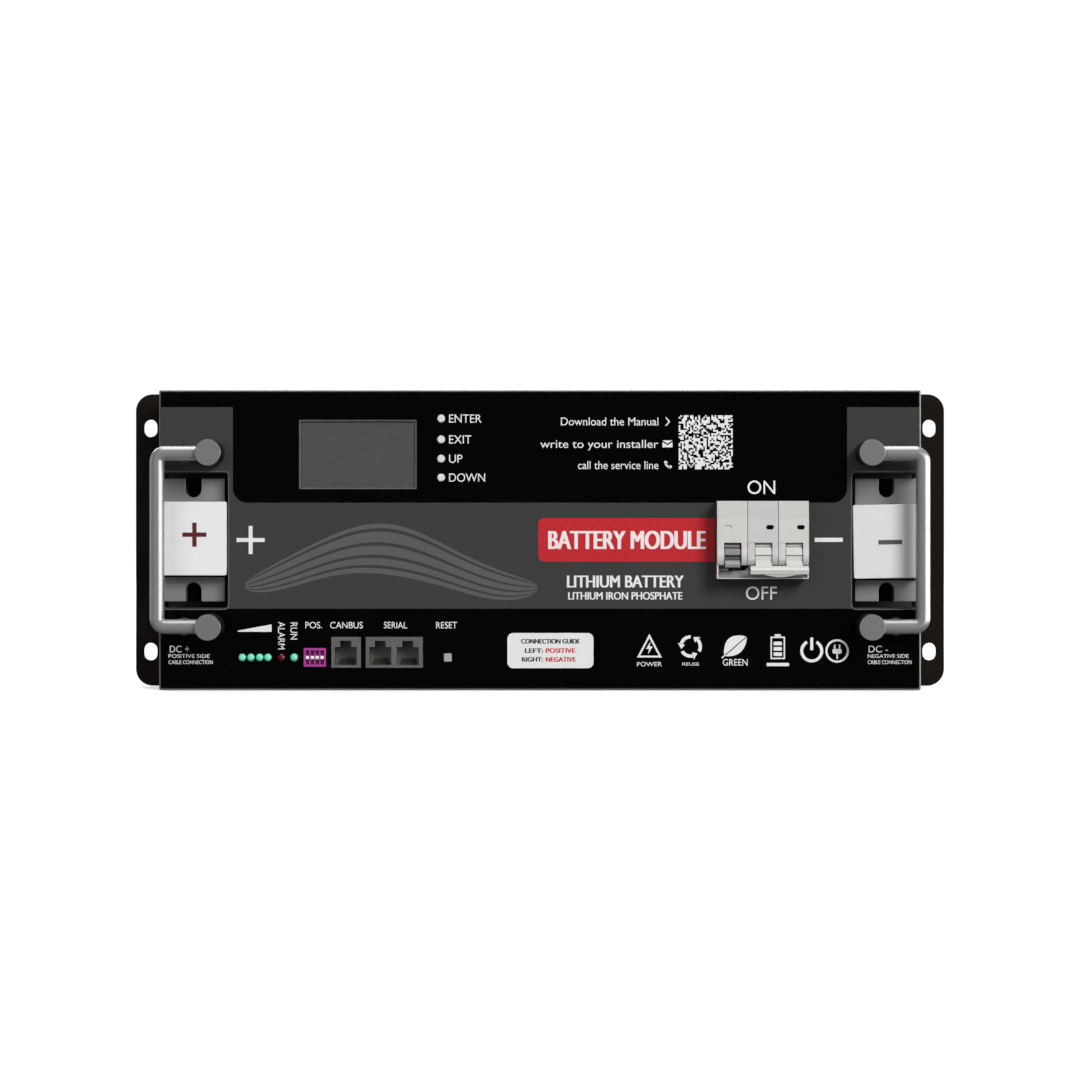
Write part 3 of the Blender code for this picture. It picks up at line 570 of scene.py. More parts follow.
def terminal_grey():
    return surface(
        "terminal_grey", grey(126), vary=0.03, roughness=(0.2, 0.28), grain=1200.0,
        bump=0.08, coat=0.25, edge_scuff_and_sheen=(grey(190), 0.25, 0.0004),
    )


def cap_white(name, level):
    return surface(
        name, grey(level), vary=0.02, roughness=(0.16, 0.26), grain=1600.0,
        bump=0.05, bump_size=0.00001, coat=0.2,
    )


def breaker_shell(name, colour):
    """Fine matt moulded plastic with a spark-eroded grain."""
    return surface(
        name, colour, vary=0.025, roughness=(0.42, 0.56), grain=4000.0,
        bump=0.18, specular=0.4, edge_scuff_and_sheen=(grey(240), 0.2, 0.0003),
    )


def cheek_light_and_shade(name, colour):
    """The shell's plastic on its round front, with painted shade that darkens it towards the levers' low end.
    """
    made = breaker_shell(name, colour)
    tree = made.node_tree
    shader = tree.nodes["Principled BSDF"]
    unshaded_colour = shader.inputs["Base Color"].links[0].from_socket
    spot = node(tree, "ShaderNodeTexCoord")
    parts = node(tree, "ShaderNodeSeparateXYZ")
    # Painted shade: the colour is scaled down to 0.76 towards the bottom of the round front.
    share = remap(tree, parts.outputs["Z"], (CHEEK_LOW, 0.0800), (0.76, 1.0))
    painted_shade_colour = node(tree, "ShaderNodeVectorMath", operation="SCALE")
    tree.links.new(spot.outputs["Object"], parts.inputs["Vector"])
    tree.links.new(unshaded_colour, painted_shade_colour.inputs[0])
    tree.links.new(share, painted_shade_colour.inputs["Scale"])
    tree.links.new(painted_shade_colour.outputs["Vector"], shader.inputs["Base Color"])
    return made


def toggle_white(name="toggle_white", level=208):
    return surface(
        name, tint(level, level - 2, level - 5), vary=0.02, roughness=(0.42, 0.52), grain=3500.0,
        bump=0.1, specular=0.35,
    )


def lever_grey():
    return surface(
        "lever_grey", grey(132), vary=0.06, roughness=(0.34, 0.48), grain=3500.0,
        bump=0.15, edge_scuff_and_sheen=(grey(185), 0.3, 0.0003),
    )


def lever_shade():
    return surface("lever_shade", grey(84), vary=0.06, roughness=(0.4, 0.5), grain=3500.0, bump=0.15)


def lever_light():
    return surface("lever_light", grey(160), vary=0.04, roughness=(0.3, 0.42), grain=3000.0, bump=0.1)


def deep_black():
    return surface(
        "deep_black", grey(3), vary=0.2, roughness=(0.5, 0.7), grain=1500.0, bump=0.1, specular=0.05,
    )


def socket_grey():
    return surface(
        "socket_grey", grey(91), vary=0.06, roughness=(0.28, 0.42), grain=2500.0,
        bump=0.12, edge_scuff_and_sheen=(grey(190), 0.5, 0.0003),
    )


def gold_contact():
    return surface(
        "gold_contact", tint(128, 116, 92), vary=0.1, roughness=(0.3, 0.4), metallic=0.8, grain=2000.0,
    )


def switch_magenta():
    return surface(
        "switch_magenta", tint(168, 52, 146), vary=0.06, roughness=(0.34, 0.46), grain=3000.0,
        bump=0.15, edge_scuff_and_sheen=(tint(215, 120, 190), 0.4, 0.0003),
    )


def switch_slot_shade():
    return surface("switch_slot_shade", tint(112, 24, 88), vary=0.1, roughness=(0.5, 0.6), grain=3000.0)


def tinted_lens(name, colour, glow):
    """A clear tinted moulding with a faint glow from the light behind it."""
    made = surface(
        name, colour, vary=0.06, roughness=(0.12, 0.2), grain=2500.0, bump=0.05, bump_size=0.00001,
        coat=0.3, coat_roughness=0.06,
    )
    shader = made.node_tree.nodes["Principled BSDF"]
    shader.inputs["Emission Color"].default_value = (*colour, 1.0)
    shader.inputs["Emission Strength"].default_value = glow
    return made


def display_glass():
    return surface(
        "display_glass", grey(76), vary=0.015, roughness=(0.24, 0.28), grain=400.0,
        bump=0.01, bump_size=0.00001, specular=0.3,
    )


def copper_strip():
    return surface(
        "copper_strip", tint(196, 120, 84), vary=0.12, roughness=(0.24, 0.4), metallic=1.0, grain=1200.0,
        bump=0.1, stretch=(1.0, 0.1, 1.0),
    )


def mill_aluminium():
    return surface(
        "mill_aluminium", grey(190), vary=0.08, roughness=(0.3, 0.45), metallic=1.0, grain=1500.0,
        bump=0.1, stretch=(0.08, 1.0, 1.0),
    )


def solder_mask():
    return surface(
        "solder_mask", tint(18, 82, 46), vary=0.2, roughness=(0.25, 0.4), grain=1200.0,
        bump=0.15, bump_size=0.00003, coat=0.3,
    )


def cell_film():
    return surface(
        "cell_film", tint(30, 84, 160), vary=0.08, roughness=(0.22, 0.34), grain=700.0,
        bump=0.08, bump_size=0.00003, coat=0.3,
    )


def carrier_plastic():
    return surface(
        "carrier_plastic", grey(70), vary=0.08, roughness=(0.4, 0.55), grain=2500.0,
        bump=0.15,
    )


# Outer case.


def make_tray():
    """The bent tray, its floor and sides joined by 2 mm bends, with inward lips under the lid."""
    low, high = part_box("base_tray")
    lip, bend = 0.012, 0.002
    half = (
        arc((high.x - bend, low.z + bend), bend, 270, 360, 5)
        + arc((high.x - bend, high.z - bend), bend, 0, 90, 5)
        + [(high.x - lip, high.z), (high.x - lip, high.z - SHEET)]
        + arc((high.x - bend, high.z - bend), bend - SHEET, 90, 0, 3)
        + arc((high.x - bend, low.z + bend), bend - SHEET, 0, -90, 3)
    )
    outline = half + mirrored(reversed(half), -1)
    tray = prism("case_tray", outline, 1, low.y, high.y)
    vents = []
    for side in (-1, 1):
        inner, outer = sorted((side * (HALF - 0.004), side * (HALF + 0.004)))
        for row in range(6):
            for column in range(5):
                y, z = REAR - 0.050 - column * 0.022, low.z + 0.052 + row * 0.014
                vents.append(prism("vent", stadium(y, z, 0.016, 0.004, 4), 0, inner, outer))
    cut(tray, fused("vents", vents))
    piece(bevel(clean(tray), 0.0002, 2), powder_coat(), "case_paint", stands_for=["base_tray"])


def lid_screw_places():
    """Middles of the screws in five rows along both sides, and of three along the rear."""
    low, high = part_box("top_cover")
    inset, end, rows = 0.007, 0.020, 5
    places = []
    for i in range(rows):
        y = low.y + end + (high.y - low.y - 2 * end) * i / (rows - 1)
        places += [(-high.x + inset, y), (high.x - inset, y)]
    return places + [(x, high.y - inset) for x in (-0.110, 0.0, 0.110)]


def cross_recess(head, centre, axis, long, short, depths):
    """Cut a cross into a screw's head, between two depths along its axis."""
    arms = []
    for wide, tall in ((short, long), (long, short)):
        arm = box("recess_arm", (-wide, -tall, depths[0]), (wide, tall, depths[1]))
        arm.data.transform(facing(centre, axis))
        arms.append(arm)
    return cut(head, *arms)


def flush_screw(name, centre, axis):
    """A flush countersunk head with a cross recess, seen from outside."""
    radius = LID_SCREW_R
    tip = (-radius * 0.9, radius * 0.25)
    profile = (tip, (-0.0004, radius - 0.0002), (-0.00015, radius), (0.0, radius - 0.0001))
    head = turned(name, centre, axis, profile, 28)
    return cross_recess(head, centre, axis, radius * 0.62, radius * 0.14, (-0.0008, 0.001))


def flush_sink(name, centre, axis):
    """The countersunk hole of a flush screw."""
    profile = ((-0.004, 0.0018), (-0.0017, 0.0019), (0.0001, 0.0036), (0.001, 0.0045))
    return turned(name, centre, axis, profile, 28)


def make_lid():
    """The lid, with countersunk screws round it and three pressed grooves."""
    low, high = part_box("top_cover")
    lid = box("case_lid", low, high)
    sinks = [flush_sink("lid_sink", (x, y, high.z), (0, 0, 1)) for x, y in lid_screw_places()]
    grooves = []
    for x in (-0.120, 0.0, 0.120):
        outer, inner = (
            rounded(x - 0.045 + w, x + 0.045 - w, low.y + 0.060 + w, high.y - 0.060 - w, 0.012 - w, 6)
            for w in (0.0, 0.0015)
        )
        groove = prism("groove", outer, 2, high.z - 0.0004, high.z + 0.001)
        grooves.append(cut(groove, prism("groove_core", inner, 2, high.z - 0.001, high.z + 0.002)))
    cut(lid, fused("lid_sinks", sinks), fused("lid_grooves", grooves))
    piece(bevel(clean(lid), 0.00025, 2), powder_coat(), "case_paint", stands_for=["top_cover"])
    heads = [flush_screw("lid_screw", (x, y, high.z - 0.0002), (0, 0, 1)) for x, y in lid_screw_places()]
    piece(fused("lid_screws", heads), dark_zinc(), "zinc_steel")


def make_rear():
    """The back pan with an exhaust grille, a plate seam and countersunk screws at its edge."""
    low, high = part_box("rear_panel")
    pan = box("case_rear", low, high)
    hollow_low = low + Vector((SHEET, -0.002, SHEET))
    hollow = box("rear_hollow", hollow_low, high - Vector((SHEET, SHEET, SHEET)))
    slots = []
    for column in range(14):
        for row in range(7):
            outline = stadium(0.060 + column * 0.0095, MID - 0.045 + row * 0.015, 0.0045, 0.011, 4)
            slots.append(plate("slot", outline, REAR - 0.004, REAR + 0.002))
    sinks = [flush_sink("rear_sink", (x, REAR, z), (0, 1, 0)) for x, z in rear_screw_places()]
    field, core = (
        rounded(-0.190 + w, 0.020 - w, MID - 0.055 + w, MID + 0.055 - w, 0.006 - w, 5) for w in (0.0, 0.0008)
    )
    seam = plate("seam", field, REAR - 0.0003, REAR + 0.001)
    cut(seam, plate("seam_core", core, REAR - 0.001, REAR + 0.002))
    cut(pan, hollow, fused("slots", slots), fused("sinks", sinks), seam)
    piece(bevel(clean(pan), 0.0002, 2), powder_coat(), "case_paint", stands_for=["rear_panel"])
    heads = [flush_screw("rear_screw", (x, REAR - 0.0002, z), (0, 1, 0)) for x, z in rear_screw_places()]
    piece(fused("rear_screws", heads), dark_zinc(), "zinc_steel")


def rear_screw_places():
    """Middles of the screws at the sides, along the top and bottom, and round the seam."""
    edge = HALF - 0.0085
    rows = (
        ((-edge, edge), (-0.060, 0.0, 0.060)),
        ((-0.110, 0.0, 0.110), (-0.076, 0.076)),
        ((-0.182, 0.012), (-0.047, 0.047)),
    )
    return [(x, MID + up) for across, heights in rows for x in across for up in heights]


# Front plate.


def notch(name, side, grow, front, back):
    """The space of one terminal notch, open at the case's side, with round inner corners."""
    node_low, node_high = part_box("positive_terminal_base")
    inner = -node_high.x - 0.0031 - grow
    low = node_low.z - 0.0034 - grow
    high = node_high.z + 0.0029 + grow
    outer = HALF + 0.003
    radius = NOTCH_R + grow
    outline = (
        [(outer, low)]
        + [(outer, high)]
        + arc((inner + radius, high - radius), radius, 90, 180, 6)
        + arc((inner + radius, low + radius), radius, 180, 270, 6)
    )
    return plate(name, mirrored(outline, side), front, back)


def button_places():
    return [(label, *node_middle(f"{label}_button")) for label in ("enter", "exit", "up", "down")]


def lens_places():
    """X of the four charge lenses, X of the alarm and run lenses by name, and the Z of them all."""
    low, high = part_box("charge_level_light_pipe")
    first, last = low.x + LENS_R, high.x - LENS_R
    charge = [first + (last - first) * share for share in (0.0, 0.336, 0.678, 1.0)]
    status = {label: node_middle(f"{label}_light_pipe")[0] for label in ("alarm", "run")}
    return charge, status, node_middle("run_light_pipe")[1]


def numbered_places(kind):
    """X and Z of the middles of four nodes numbered from 1."""
    return [node_middle(f"{kind}_{i + 1}") for i in range(4)]


def panel_openings(margin, front, back):
    """Every opening through the front plate and its film, each grown by a margin."""
    grow = CLEAR + margin
    spans = [(BREAKER_LEFT, BREAKER_RIGHT, NOSE_LOW, NOSE_HIGH)]
    for name in ("display_window", "address_switch_body", *SOCKET_CENTRES, "reset_button"):
        low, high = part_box(name)
        flange = RESET_FLANGE if name == "reset_button" else 0.0
        spans.append((low.x + flange, high.x - flange, low.z + flange, high.z - flange))
    holes = []
    for left, right, low, high in spans:
        outline = rounded(left - grow, right + grow, low - grow, high + grow, 0.0006, 4)
        holes.append(plate("hole", outline, front, back))
    charge, status, z = lens_places()
    holes += [round_plug("hole", x, up, BUTTON_R + grow, front, back) for _, x, up in button_places()]
    holes += [round_plug("hole", x, z, LENS_R + grow, front, back) for x in status.values()]
    if margin:
        reach = LENS_R + grow
        outline = rounded(charge[0] - reach, charge[-1] + reach, z - reach, z + reach, reach - 1e-5, 8)
        holes.append(plate("hole", outline, front, back))
    else:
        holes += [round_plug("hole", x, z, LENS_R + CLEAR - 0.0001, front, back) for x in charge]
    return fused("openings", holes)


def screw_sinks(grow):
    """The countersunk holes of the four panel screws."""
    shank_r = SCREW_SHANK_R + grow
    profile = ((-0.0003, SCREW_R + 0.0003 + grow), (0.0025, shank_r), (0.004, shank_r))
    places = numbered_places("panel_screw")
    return fused("sinks", [turned("sink", (x, FACE, z), (0, 1, 0), profile, 40) for x, z in places])


def make_bezel():
    """The front pan, with rounded folded edges and a pocket at each side for a terminal."""
    low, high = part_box("front_bezel")
    pan = box("face_plate", low, high)
    # The bevels take the lighter edge paint: partly worn, partly a painted highlight along the folded edges.
    for made in (powder_coat(), powder_edge_scuff_and_sheen()):
        pan.data.materials.append(made)
    bevel(pan, 0.0010, 5, 60, edge=1)
    behind = PAN_BACK + 0.004
    inset = Vector((SHEET, SHEET, SHEET))
    hollow = box("pan_hollow", low + inset, (high.x - SHEET, behind, high.z - SHEET))
    pocket_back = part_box("positive_terminal_base")[1].y + CLEAR
    before = FACE - 0.003
    for side in (-1, 1):
        cut(hollow, notch("pocket_wall", side, SHEET, before, pocket_back + SHEET))
    pockets = [notch("pocket", side, 0.0, before, pocket_back) for side in (-1, 1)]
    busbar_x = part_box("negative_busbar")[0].x
    passages = []
    for side in (-1, 1):
        left, right = sorted((side * (busbar_x - 0.0011), side * (busbar_x + 0.0047)))
        passage_low = (left, pocket_back - 0.004, MID - 0.011)
        passages.append(box("passage", passage_low, (right, behind, MID + 0.011)))
    cut(pan, hollow, *pockets, fused("passages", passages))
    cut(pan, panel_openings(0.0002, before, PLATE + SHEET + 0.002), screw_sinks(0.0002))
    bevel(clean(pan), 0.0005, 3, 50, edge=1)
    piece(pan, None, "case_paint", stands_for=["front_bezel"])


def film_sheet(name, front, back):
    """A sheet of film with every opening cut."""
    film = plate(name, rounded(FILM_LOW.x, FILM_HIGH.x, FILM_LOW.z, FILM_HIGH.z, 0.001, 4), front, back)
    reach = (FACE - 0.002, FACE + 0.002)
    cut(film, *(notch("film_notch", side, 0.0006, *reach) for side in (-1, 1)))
    return cut(film, panel_openings(0.0, *reach), screw_sinks(0.0001))


def grey_zone():
    """Outline of the film's grey field: a band across the middle and a column up each side."""
    half = (
        [(FILM_HIGH.x - 1e-5, BAND_LOW), (FILM_HIGH.x - 1e-5, COLUMN_HIGH), (COLUMN_INNER, COLUMN_HIGH)]
        + arc((COLUMN_INNER - BAND_R, BAND_HIGH + BAND_R), BAND_R, 0, -90, 10)
    )
    return half + mirrored(reversed(half), -1)


def make_film():
    """The black film and, printed on it, the grey field."""
    film = film_sheet("face_film", FACE, PLATE)
    piece(clean(film), film_black(), "overlay_film", stands_for=["front_overlay"])
    field = film_sheet("grey_field", out(INK), FACE)
    boolean(field, [plate("grey_zone", grey_zone(), FACE - 0.01, FACE + 0.01)], "INTERSECT")
    piece(clean(field), film_grey(), "overlay_film")


# Print. Each ink is one piece of thin raised shapes on the film.

prints = {}


def level(layer):
    """Back and front Y of one ink layer. The grey field is layer 0."""
    return out(INK * layer), out(INK * (layer + 1))


def stamp(outline, ink_name="white", layer=2):
    """Add a filled shape to one ink."""
    back, front = level(layer)
    prints.setdefault(ink_name, []).append(plate("shape", outline, front, back))


def stroke(points, width):
    """Outline of a line of even width through points, with square ends."""
    left, right = [], []
    for i, point in enumerate(points):
        here = Vector(point)
        before = Vector(points[max(0, i - 1)])
        after = Vector(points[min(len(points) - 1, i + 1)])
        first = (here - before).normalized() if (here - before).length else (after - here).normalized()
        second = (after - here).normalized() if (after - here).length else first
        along = (first + second).normalized()
        across = Vector((-along.y, along.x))
        reach = width / 2 / max(0.35, abs(across.dot(Vector((-first.y, first.x)))))
        left.append(tuple(here + across * reach))
        right.append(tuple(here - across * reach))
    return left + right[::-1]


def ring(centre, radius, width, start, end, steps):
    """Print part of a ring in white."""
    outer = arc(centre, radius + width / 2, start, end, steps)
    stamp(outer + arc(centre, radius - width / 2, end, start, steps))


def text_mesh(text):
    curve = bpy.data.curves.new("words", "FONT")
    curve.body = text
    curve.size = 1.0
    curve.resolution_u = 5
    curve.fill_mode = "BOTH"
    curve.extrude = 0.5
    obj = add_object("words", curve)
    data = evaluated_mesh(obj)
    bpy.data.objects.remove(obj, do_unlink=True)
    bpy.data.curves.remove(curve)
    return data


def words(text, left, right, low, high, ink_name="white", bold=0.0, turn=False):
    """Print text so that its capitals fill the given box. A turned line reads downwards.

    Bold text is printed three times, moved by bold to each side, each a hair higher than the last.
    """
    data = text_mesh(text)
    capital = text_mesh("H")
    tall = max(v.co.y for v in capital.vertices)
    wide = [v.co.x for v in data.vertices]
    start, end = min(wide), max(wide)
    left, right = left + bold, right - bold
    for copy, shift in enumerate((-bold, bold, 0.0) if bold else (0.0,)):
        back, front = level(2)
        front -= copy * INK / 6
        mesh = bmesh.new()
        mesh.from_mesh(data)
        for vertex in mesh.verts:
            along = (vertex.co.x - start) / (end - start)
            up = vertex.co.y / tall
            depth = back if vertex.co.z < 0 else front
            if turn:
                vertex.co = (left + (right - left) * up, depth, high + (low - high) * along)
            else:
                vertex.co = (left + (right - left) * along + shift, depth, low + (high - low) * up)
        bmesh.ops.remove_doubles(mesh, verts=mesh.verts, dist=1e-7)
        prints.setdefault(ink_name, []).append(from_bmesh(f"{ink_name}_words", mesh))
    bpy.data.meshes.remove(data)
    bpy.data.meshes.remove(capital)


def print_signs():
    stamp(plus_outline(0.0163, 0.0023, -0.1677, MID))
    stamp(rounded(0.1592, 0.1755, MID - 0.0011, MID + 0.0013, 0.0002, 3))


def wave_band(low_share, high_share):
    """One band between two of a family of curves that fan out and draw together along the field."""
    left, right = -0.1708, -0.0015
    count = 72

    def height(share, along):
        swell = math.sin(math.pi * along) ** 0.6
        middle = 0.0705 + 0.0115 * math.sin(2 * math.pi * (0.95 * along - 0.17))
        spread_here = 0.0030 + 0.0265 * swell * (0.94 + 0.06 * math.cos(4 * math.pi * along))
        return middle + (share - 0.5) * spread_here

    places = [i / count for i in range(count + 1)]
    lower = [(left + (right - left) * a, height(low_share, a)) for a in places]
    upper = [(left + (right - left) * a, height(high_share, a)) for a in places]
    return lower + upper[::-1]


def print_waves():
    """Flowing bands across the left of the grey field, each with a gap to the next."""
    shares = ((0.0, 0.11), (0.17, 0.31), (0.38, 0.56), (0.63, 0.84), (0.91, 1.0))
    for low_share, high_share in shares:
        stamp(wave_band(low_share, high_share), "wave", 1)


def print_centre_labels():
    low, high = 0.0745, 0.0997
    left, right, radius = -0.0010, 0.1012, 0.0036
    corners = arc((left + radius, low + radius), radius, 180, 270, 6) + [(right, low), (right, high)]
    corners += arc((left + radius, high - radius), radius, 90, 180, 6)
    stamp(corners, "red", 1)
    words("BATTERY MODULE", 0.0047, 0.0962, 0.0818, 0.0922, "pale_pink", 0.0005)
    words("LITHIUM BATTERY", 0.0156, 0.0834, 0.0595, 0.0664, bold=0.0003)
    words("LITHIUM IRON PHOSPHATE", 0.0163, 0.0826, 0.0525, 0.0568, bold=0.00017)
    words("ON", 0.1203, 0.1363, 0.1137, 0.1214)
    words("OFF", 0.1193, 0.1373, 0.0524, 0.0600)


def print_menu_labels():
    rights = {"enter": -0.0339, "exit": -0.0398, "up": -0.0450, "down": -0.0318}
    for label, _, height in button_places():
        words(label.upper(), -0.0527, rights[label], height - 0.00237, height + 0.00237)


def print_help_lines():
    right = 0.0686
    words("Download the Manual", 0.0121, right, 0.1534, 0.1580)
    words("write to your installer", 0.0002, right, 0.1404, 0.1450)
    words("call the service line", 0.0220, right, 0.1281, 0.1327)
    chevron = [(0.0729, 0.1580), (0.0750, 0.1556), (0.0729, 0.1532)]
    stamp(stroke(chevron, 0.0007))
    print_envelope(0.0739, 0.1427)
    print_handset(0.0739, 0.1304)


def print_envelope(x, z):
    wide, tall = 0.0029, 0.0020
    gap = 0.00022
    stamp([(x - wide, z + tall), (x + wide, z + tall), (x, z - 0.0001 + gap)])
    shoulder = z + tall - 0.0009
    foot = [(x - wide, z - tall), (x + wide, z - tall)]
    stamp(foot + [(x + wide, shoulder), (x, z - 0.0008), (x - wide, shoulder)])


def print_handset(x, z):
    """A telephone handset, a bent bar with two wider ends."""
    centre = (x + 0.0022, z + 0.0022)
    stamp(stroke(arc(centre, 0.0036, 195, 255, 8), 0.0011))
    for end in arc(centre, 0.0033, 192, 258, 1):
        stamp(arc(end, 0.00095, 0, 345, 12))


def print_code_block():
    """A square block of random cells: it stands for a printed code and holds no data."""
    dice = random.Random(7)
    cells, left, low, size = 33, 0.0804, 0.1280, 0.0313
    step = size / cells
    back, front = level(2)
    filled = {(i, j) for i in range(cells) for j in range(cells) if dice.random() < 0.52}
    mesh = bmesh.new()
    corners = {}

    def corner(i, j):
        if (i, j) not in corners:
            corners[i, j] = mesh.verts.new((left + i * step, back, low + j * step))
        return corners[i, j]

    for i, j in sorted(filled):
        mesh.faces.new((corner(i, j), corner(i + 1, j), corner(i + 1, j + 1), corner(i, j + 1)))
    thicken(mesh, 1, front - back)
    prints.setdefault("white", []).append(from_bmesh("code_block", mesh))


def print_port_labels():
    high, low = 0.0395, 0.0358
    stamp([(-0.1751, 0.0338), (-0.1556, 0.0338), (-0.1556, 0.0381), (-0.1751, 0.0345)])
    words("ALARM", -0.1518, -0.1479, 0.0236, 0.0396, turn=True)
    words("RUN", -0.1446, -0.1406, 0.0293, 0.0392, turn=True)
    words("POS.", -0.1360, -0.1263, low, high)
    words("CANBUS", -0.1216, -0.1027, low, high)
    words("SERIAL", -0.0905, -0.0771, low, high)
    words("RESET", -0.0602, -0.0481, low, high)


def print_white_label():
    stamp(rounded(-0.0189, 0.0310, 0.0127, 0.0331, 0.0033, 6), "label", 1)
    words("CONNECTION GUIDE", -0.0110, 0.0231, 0.0270, 0.0296, "black", 0.00018)
    words("LEFT:", -0.0088, 0.0018, 0.0216, 0.0242, "black", 0.00018)
    words("POSITIVE", 0.0033, 0.0205, 0.0216, 0.0242, "red", 0.00018)
    words("RIGHT:", -0.0106, 0.0018, 0.0165, 0.0191, "black", 0.00018)
    words("NEGATIVE", 0.0033, 0.0208, 0.0165, 0.0191, "red", 0.00018)


def print_corner_notes():
    words("DC +", -0.2146, -0.2033, 0.0219, 0.0257)
    words("POSITIVE SIDE", -0.2153, -0.1915, 0.0187, 0.0208)
    words("CABLE CONNECTION", -0.2153, -0.1897, 0.0151, 0.0173)
    words("DC -", 0.1904, 0.2017, 0.0219, 0.0257)
    words("NEGATIVE SIDE", 0.1899, 0.2136, 0.0187, 0.0208)
    words("CABLE CONNECTION", 0.1899, 0.2153, 0.0151, 0.0173)


def print_triangle_icon():
    """A triangle with a bolt of lightning."""
    x, low, high = 0.0634, 0.0189, 0.0326
    corners = [(x - 0.0072, low), (x + 0.0072, low), (x, high)]
    stamp(ring_of(corners, 0.0011))
    bolt = (
        (0.0006, 0.0093), (-0.0019, 0.0050), (-0.0002, 0.0050),
        (-0.0008, 0.0018), (0.0019, 0.0064), (0.0002, 0.0064),
    )
    stamp([(x + a, low + b) for a, b in bolt])
    words("POWER", 0.0562, 0.0706, 0.0138, 0.0163)


def ring_of(corners, width):
    """A closed frame along corners: one outline with a hair-wide seam where its ends meet."""
    centre = sum((Vector(c) for c in corners), Vector((0.0, 0.0))) / len(corners)
    inner = []
    count = len(corners)
    for i, corner in enumerate(corners):
        here = Vector(corner)
        first = (here - Vector(corners[i - 1])).normalized()
        second = (Vector(corners[(i + 1) % count]) - here).normalized()
        normal_a = Vector((-first.y, first.x))
        normal_b = Vector((-second.y, second.x))
        if normal_a.dot(centre - here) < 0:
            normal_a.negate()
            normal_b.negate()
        bisector = (normal_a + normal_b).normalized()
        inner.append(here + bisector * (width / max(0.2, bisector.dot(normal_a))))
    hair = Vector(corners[0]).lerp(Vector(corners[-1]), 0.0005)
    inner_hair = inner[0].lerp(inner[-1], 0.0005)
    outline = [tuple(c) for c in corners] + [tuple(hair)]
    return outline + [tuple(inner_hair)] + [tuple(p) for p in reversed(inner[1:])] + [tuple(inner[0])]


def print_loop_icon():
    """Three arrows that chase each other round a ring."""
    centre = (0.0873, 0.0253)
    radius, width = 0.0056, 0.0019
    for i in range(3):
        start = 90 + 120 * i
        ring(centre, radius, width, start, start + 72, 12)
        reaches = ((radius + 0.0022, start + 74), (radius, start + 104), (radius - 0.0022, start + 74))
        stamp([arc(centre, reach, angle, angle, 1)[0] for reach, angle in reaches])
    words("REUSE", 0.0825, 0.0922, 0.0142, 0.0160)


def print_leaf_icon():
    """A leaf with its midrib left open."""
    tip, root = Vector((0.1196, 0.0308)), Vector((0.1070, 0.0200))
    along = (tip - root).normalized()
    across = Vector((-along.y, along.x))
    length = (tip - root).length
    for side, belly in ((1, 0.0056), (-1, 0.0042)):
        edge, rib = [], []
        for i in range(17):
            share = i / 16
            middle = root + along * length * share
            rib.append(tuple(middle + across * side * 0.00028))
            edge.append(tuple(middle + across * side * (0.0003 + belly * math.sin(math.pi * share) ** 0.8)))
        stamp(edge + rib[::-1])
    stem = [tuple(root - along * 0.0022), tuple(root + along * 0.0006)]
    stamp(stroke(stem, 0.0007))
    words("GREEN", 0.1060, 0.1203, 0.0142, 0.0180)


def print_battery_icon():
    """A battery outline with its charge bars, over a bar."""
    left, right, low, high = 0.1336, 0.1420, 0.0180, 0.0310
    corners = [(left, low), (right, low), (right, high), (left, high)]
    stamp(ring_of(corners, 0.0008))
    middle = (left + right) / 2
    stamp(rounded(middle - 0.0018, middle + 0.0018, high + 0.0001, high + 0.0014, 0.0003, 3))
    for i in range(3):
        base = low + 0.0018 + i * 0.0031
        stamp(rounded(left + 0.0018, right - 0.0018, base, base + 0.0021, 0.0002, 2))
    stamp(rounded(0.1314, 0.1444, 0.0139, 0.0158, 0.0002, 2))


def print_ring_icons():
    """Two round marks: an open ring with a bar, for power, and a plug in a closed ring."""
    z = 0.0227
    ring((0.1575, z), 0.0058, 0.0017, 118, 422, 32)
    stamp(rounded(0.1575 - 0.00085, 0.1575 + 0.00085, z + 0.0005, z + 0.0078, 0.0003, 3))
    centre = 0.1722
    ring((centre, z), 0.0062, 0.0012, 0, 359.5, 40)
    stamp(rounded(centre - 0.0027, centre + 0.0027, z - 0.0016, z + 0.0012, 0.0009, 4))
    for side in (-1, 1):
        pin = centre + side * 0.0014
        stamp(rounded(pin - 0.00045, pin + 0.00045, z + 0.0013, z + 0.0037, 0.0002, 2))
    stamp(rounded(centre - 0.0005, centre + 0.0005, z - 0.0046, z - 0.0017, 0.0002, 2))


def print_notch_highlights():
    """A pale line round each terminal notch: a painted highlight on the notch's edge."""
    node_low, node_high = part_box("positive_terminal_base")
    inner = -node_high.x - 0.0036
    low, high = node_low.z - 0.0042, node_high.z + 0.0037
    radius, edge = 0.0026, FILM_HIGH.x - 0.0002
    corner = arc((inner + radius, high - radius), radius, 90, 180, 6)
    line = [(edge, high)] + corner + arc((inner + radius, low + radius), radius, 180, 270, 6) + [(edge, low)]
    for side in (-1, 1):
        # Painted highlight: a pale line where the notch's edge catches light.
        stamp(stroke(mirrored(line, side), 0.00055), "edge", 1)


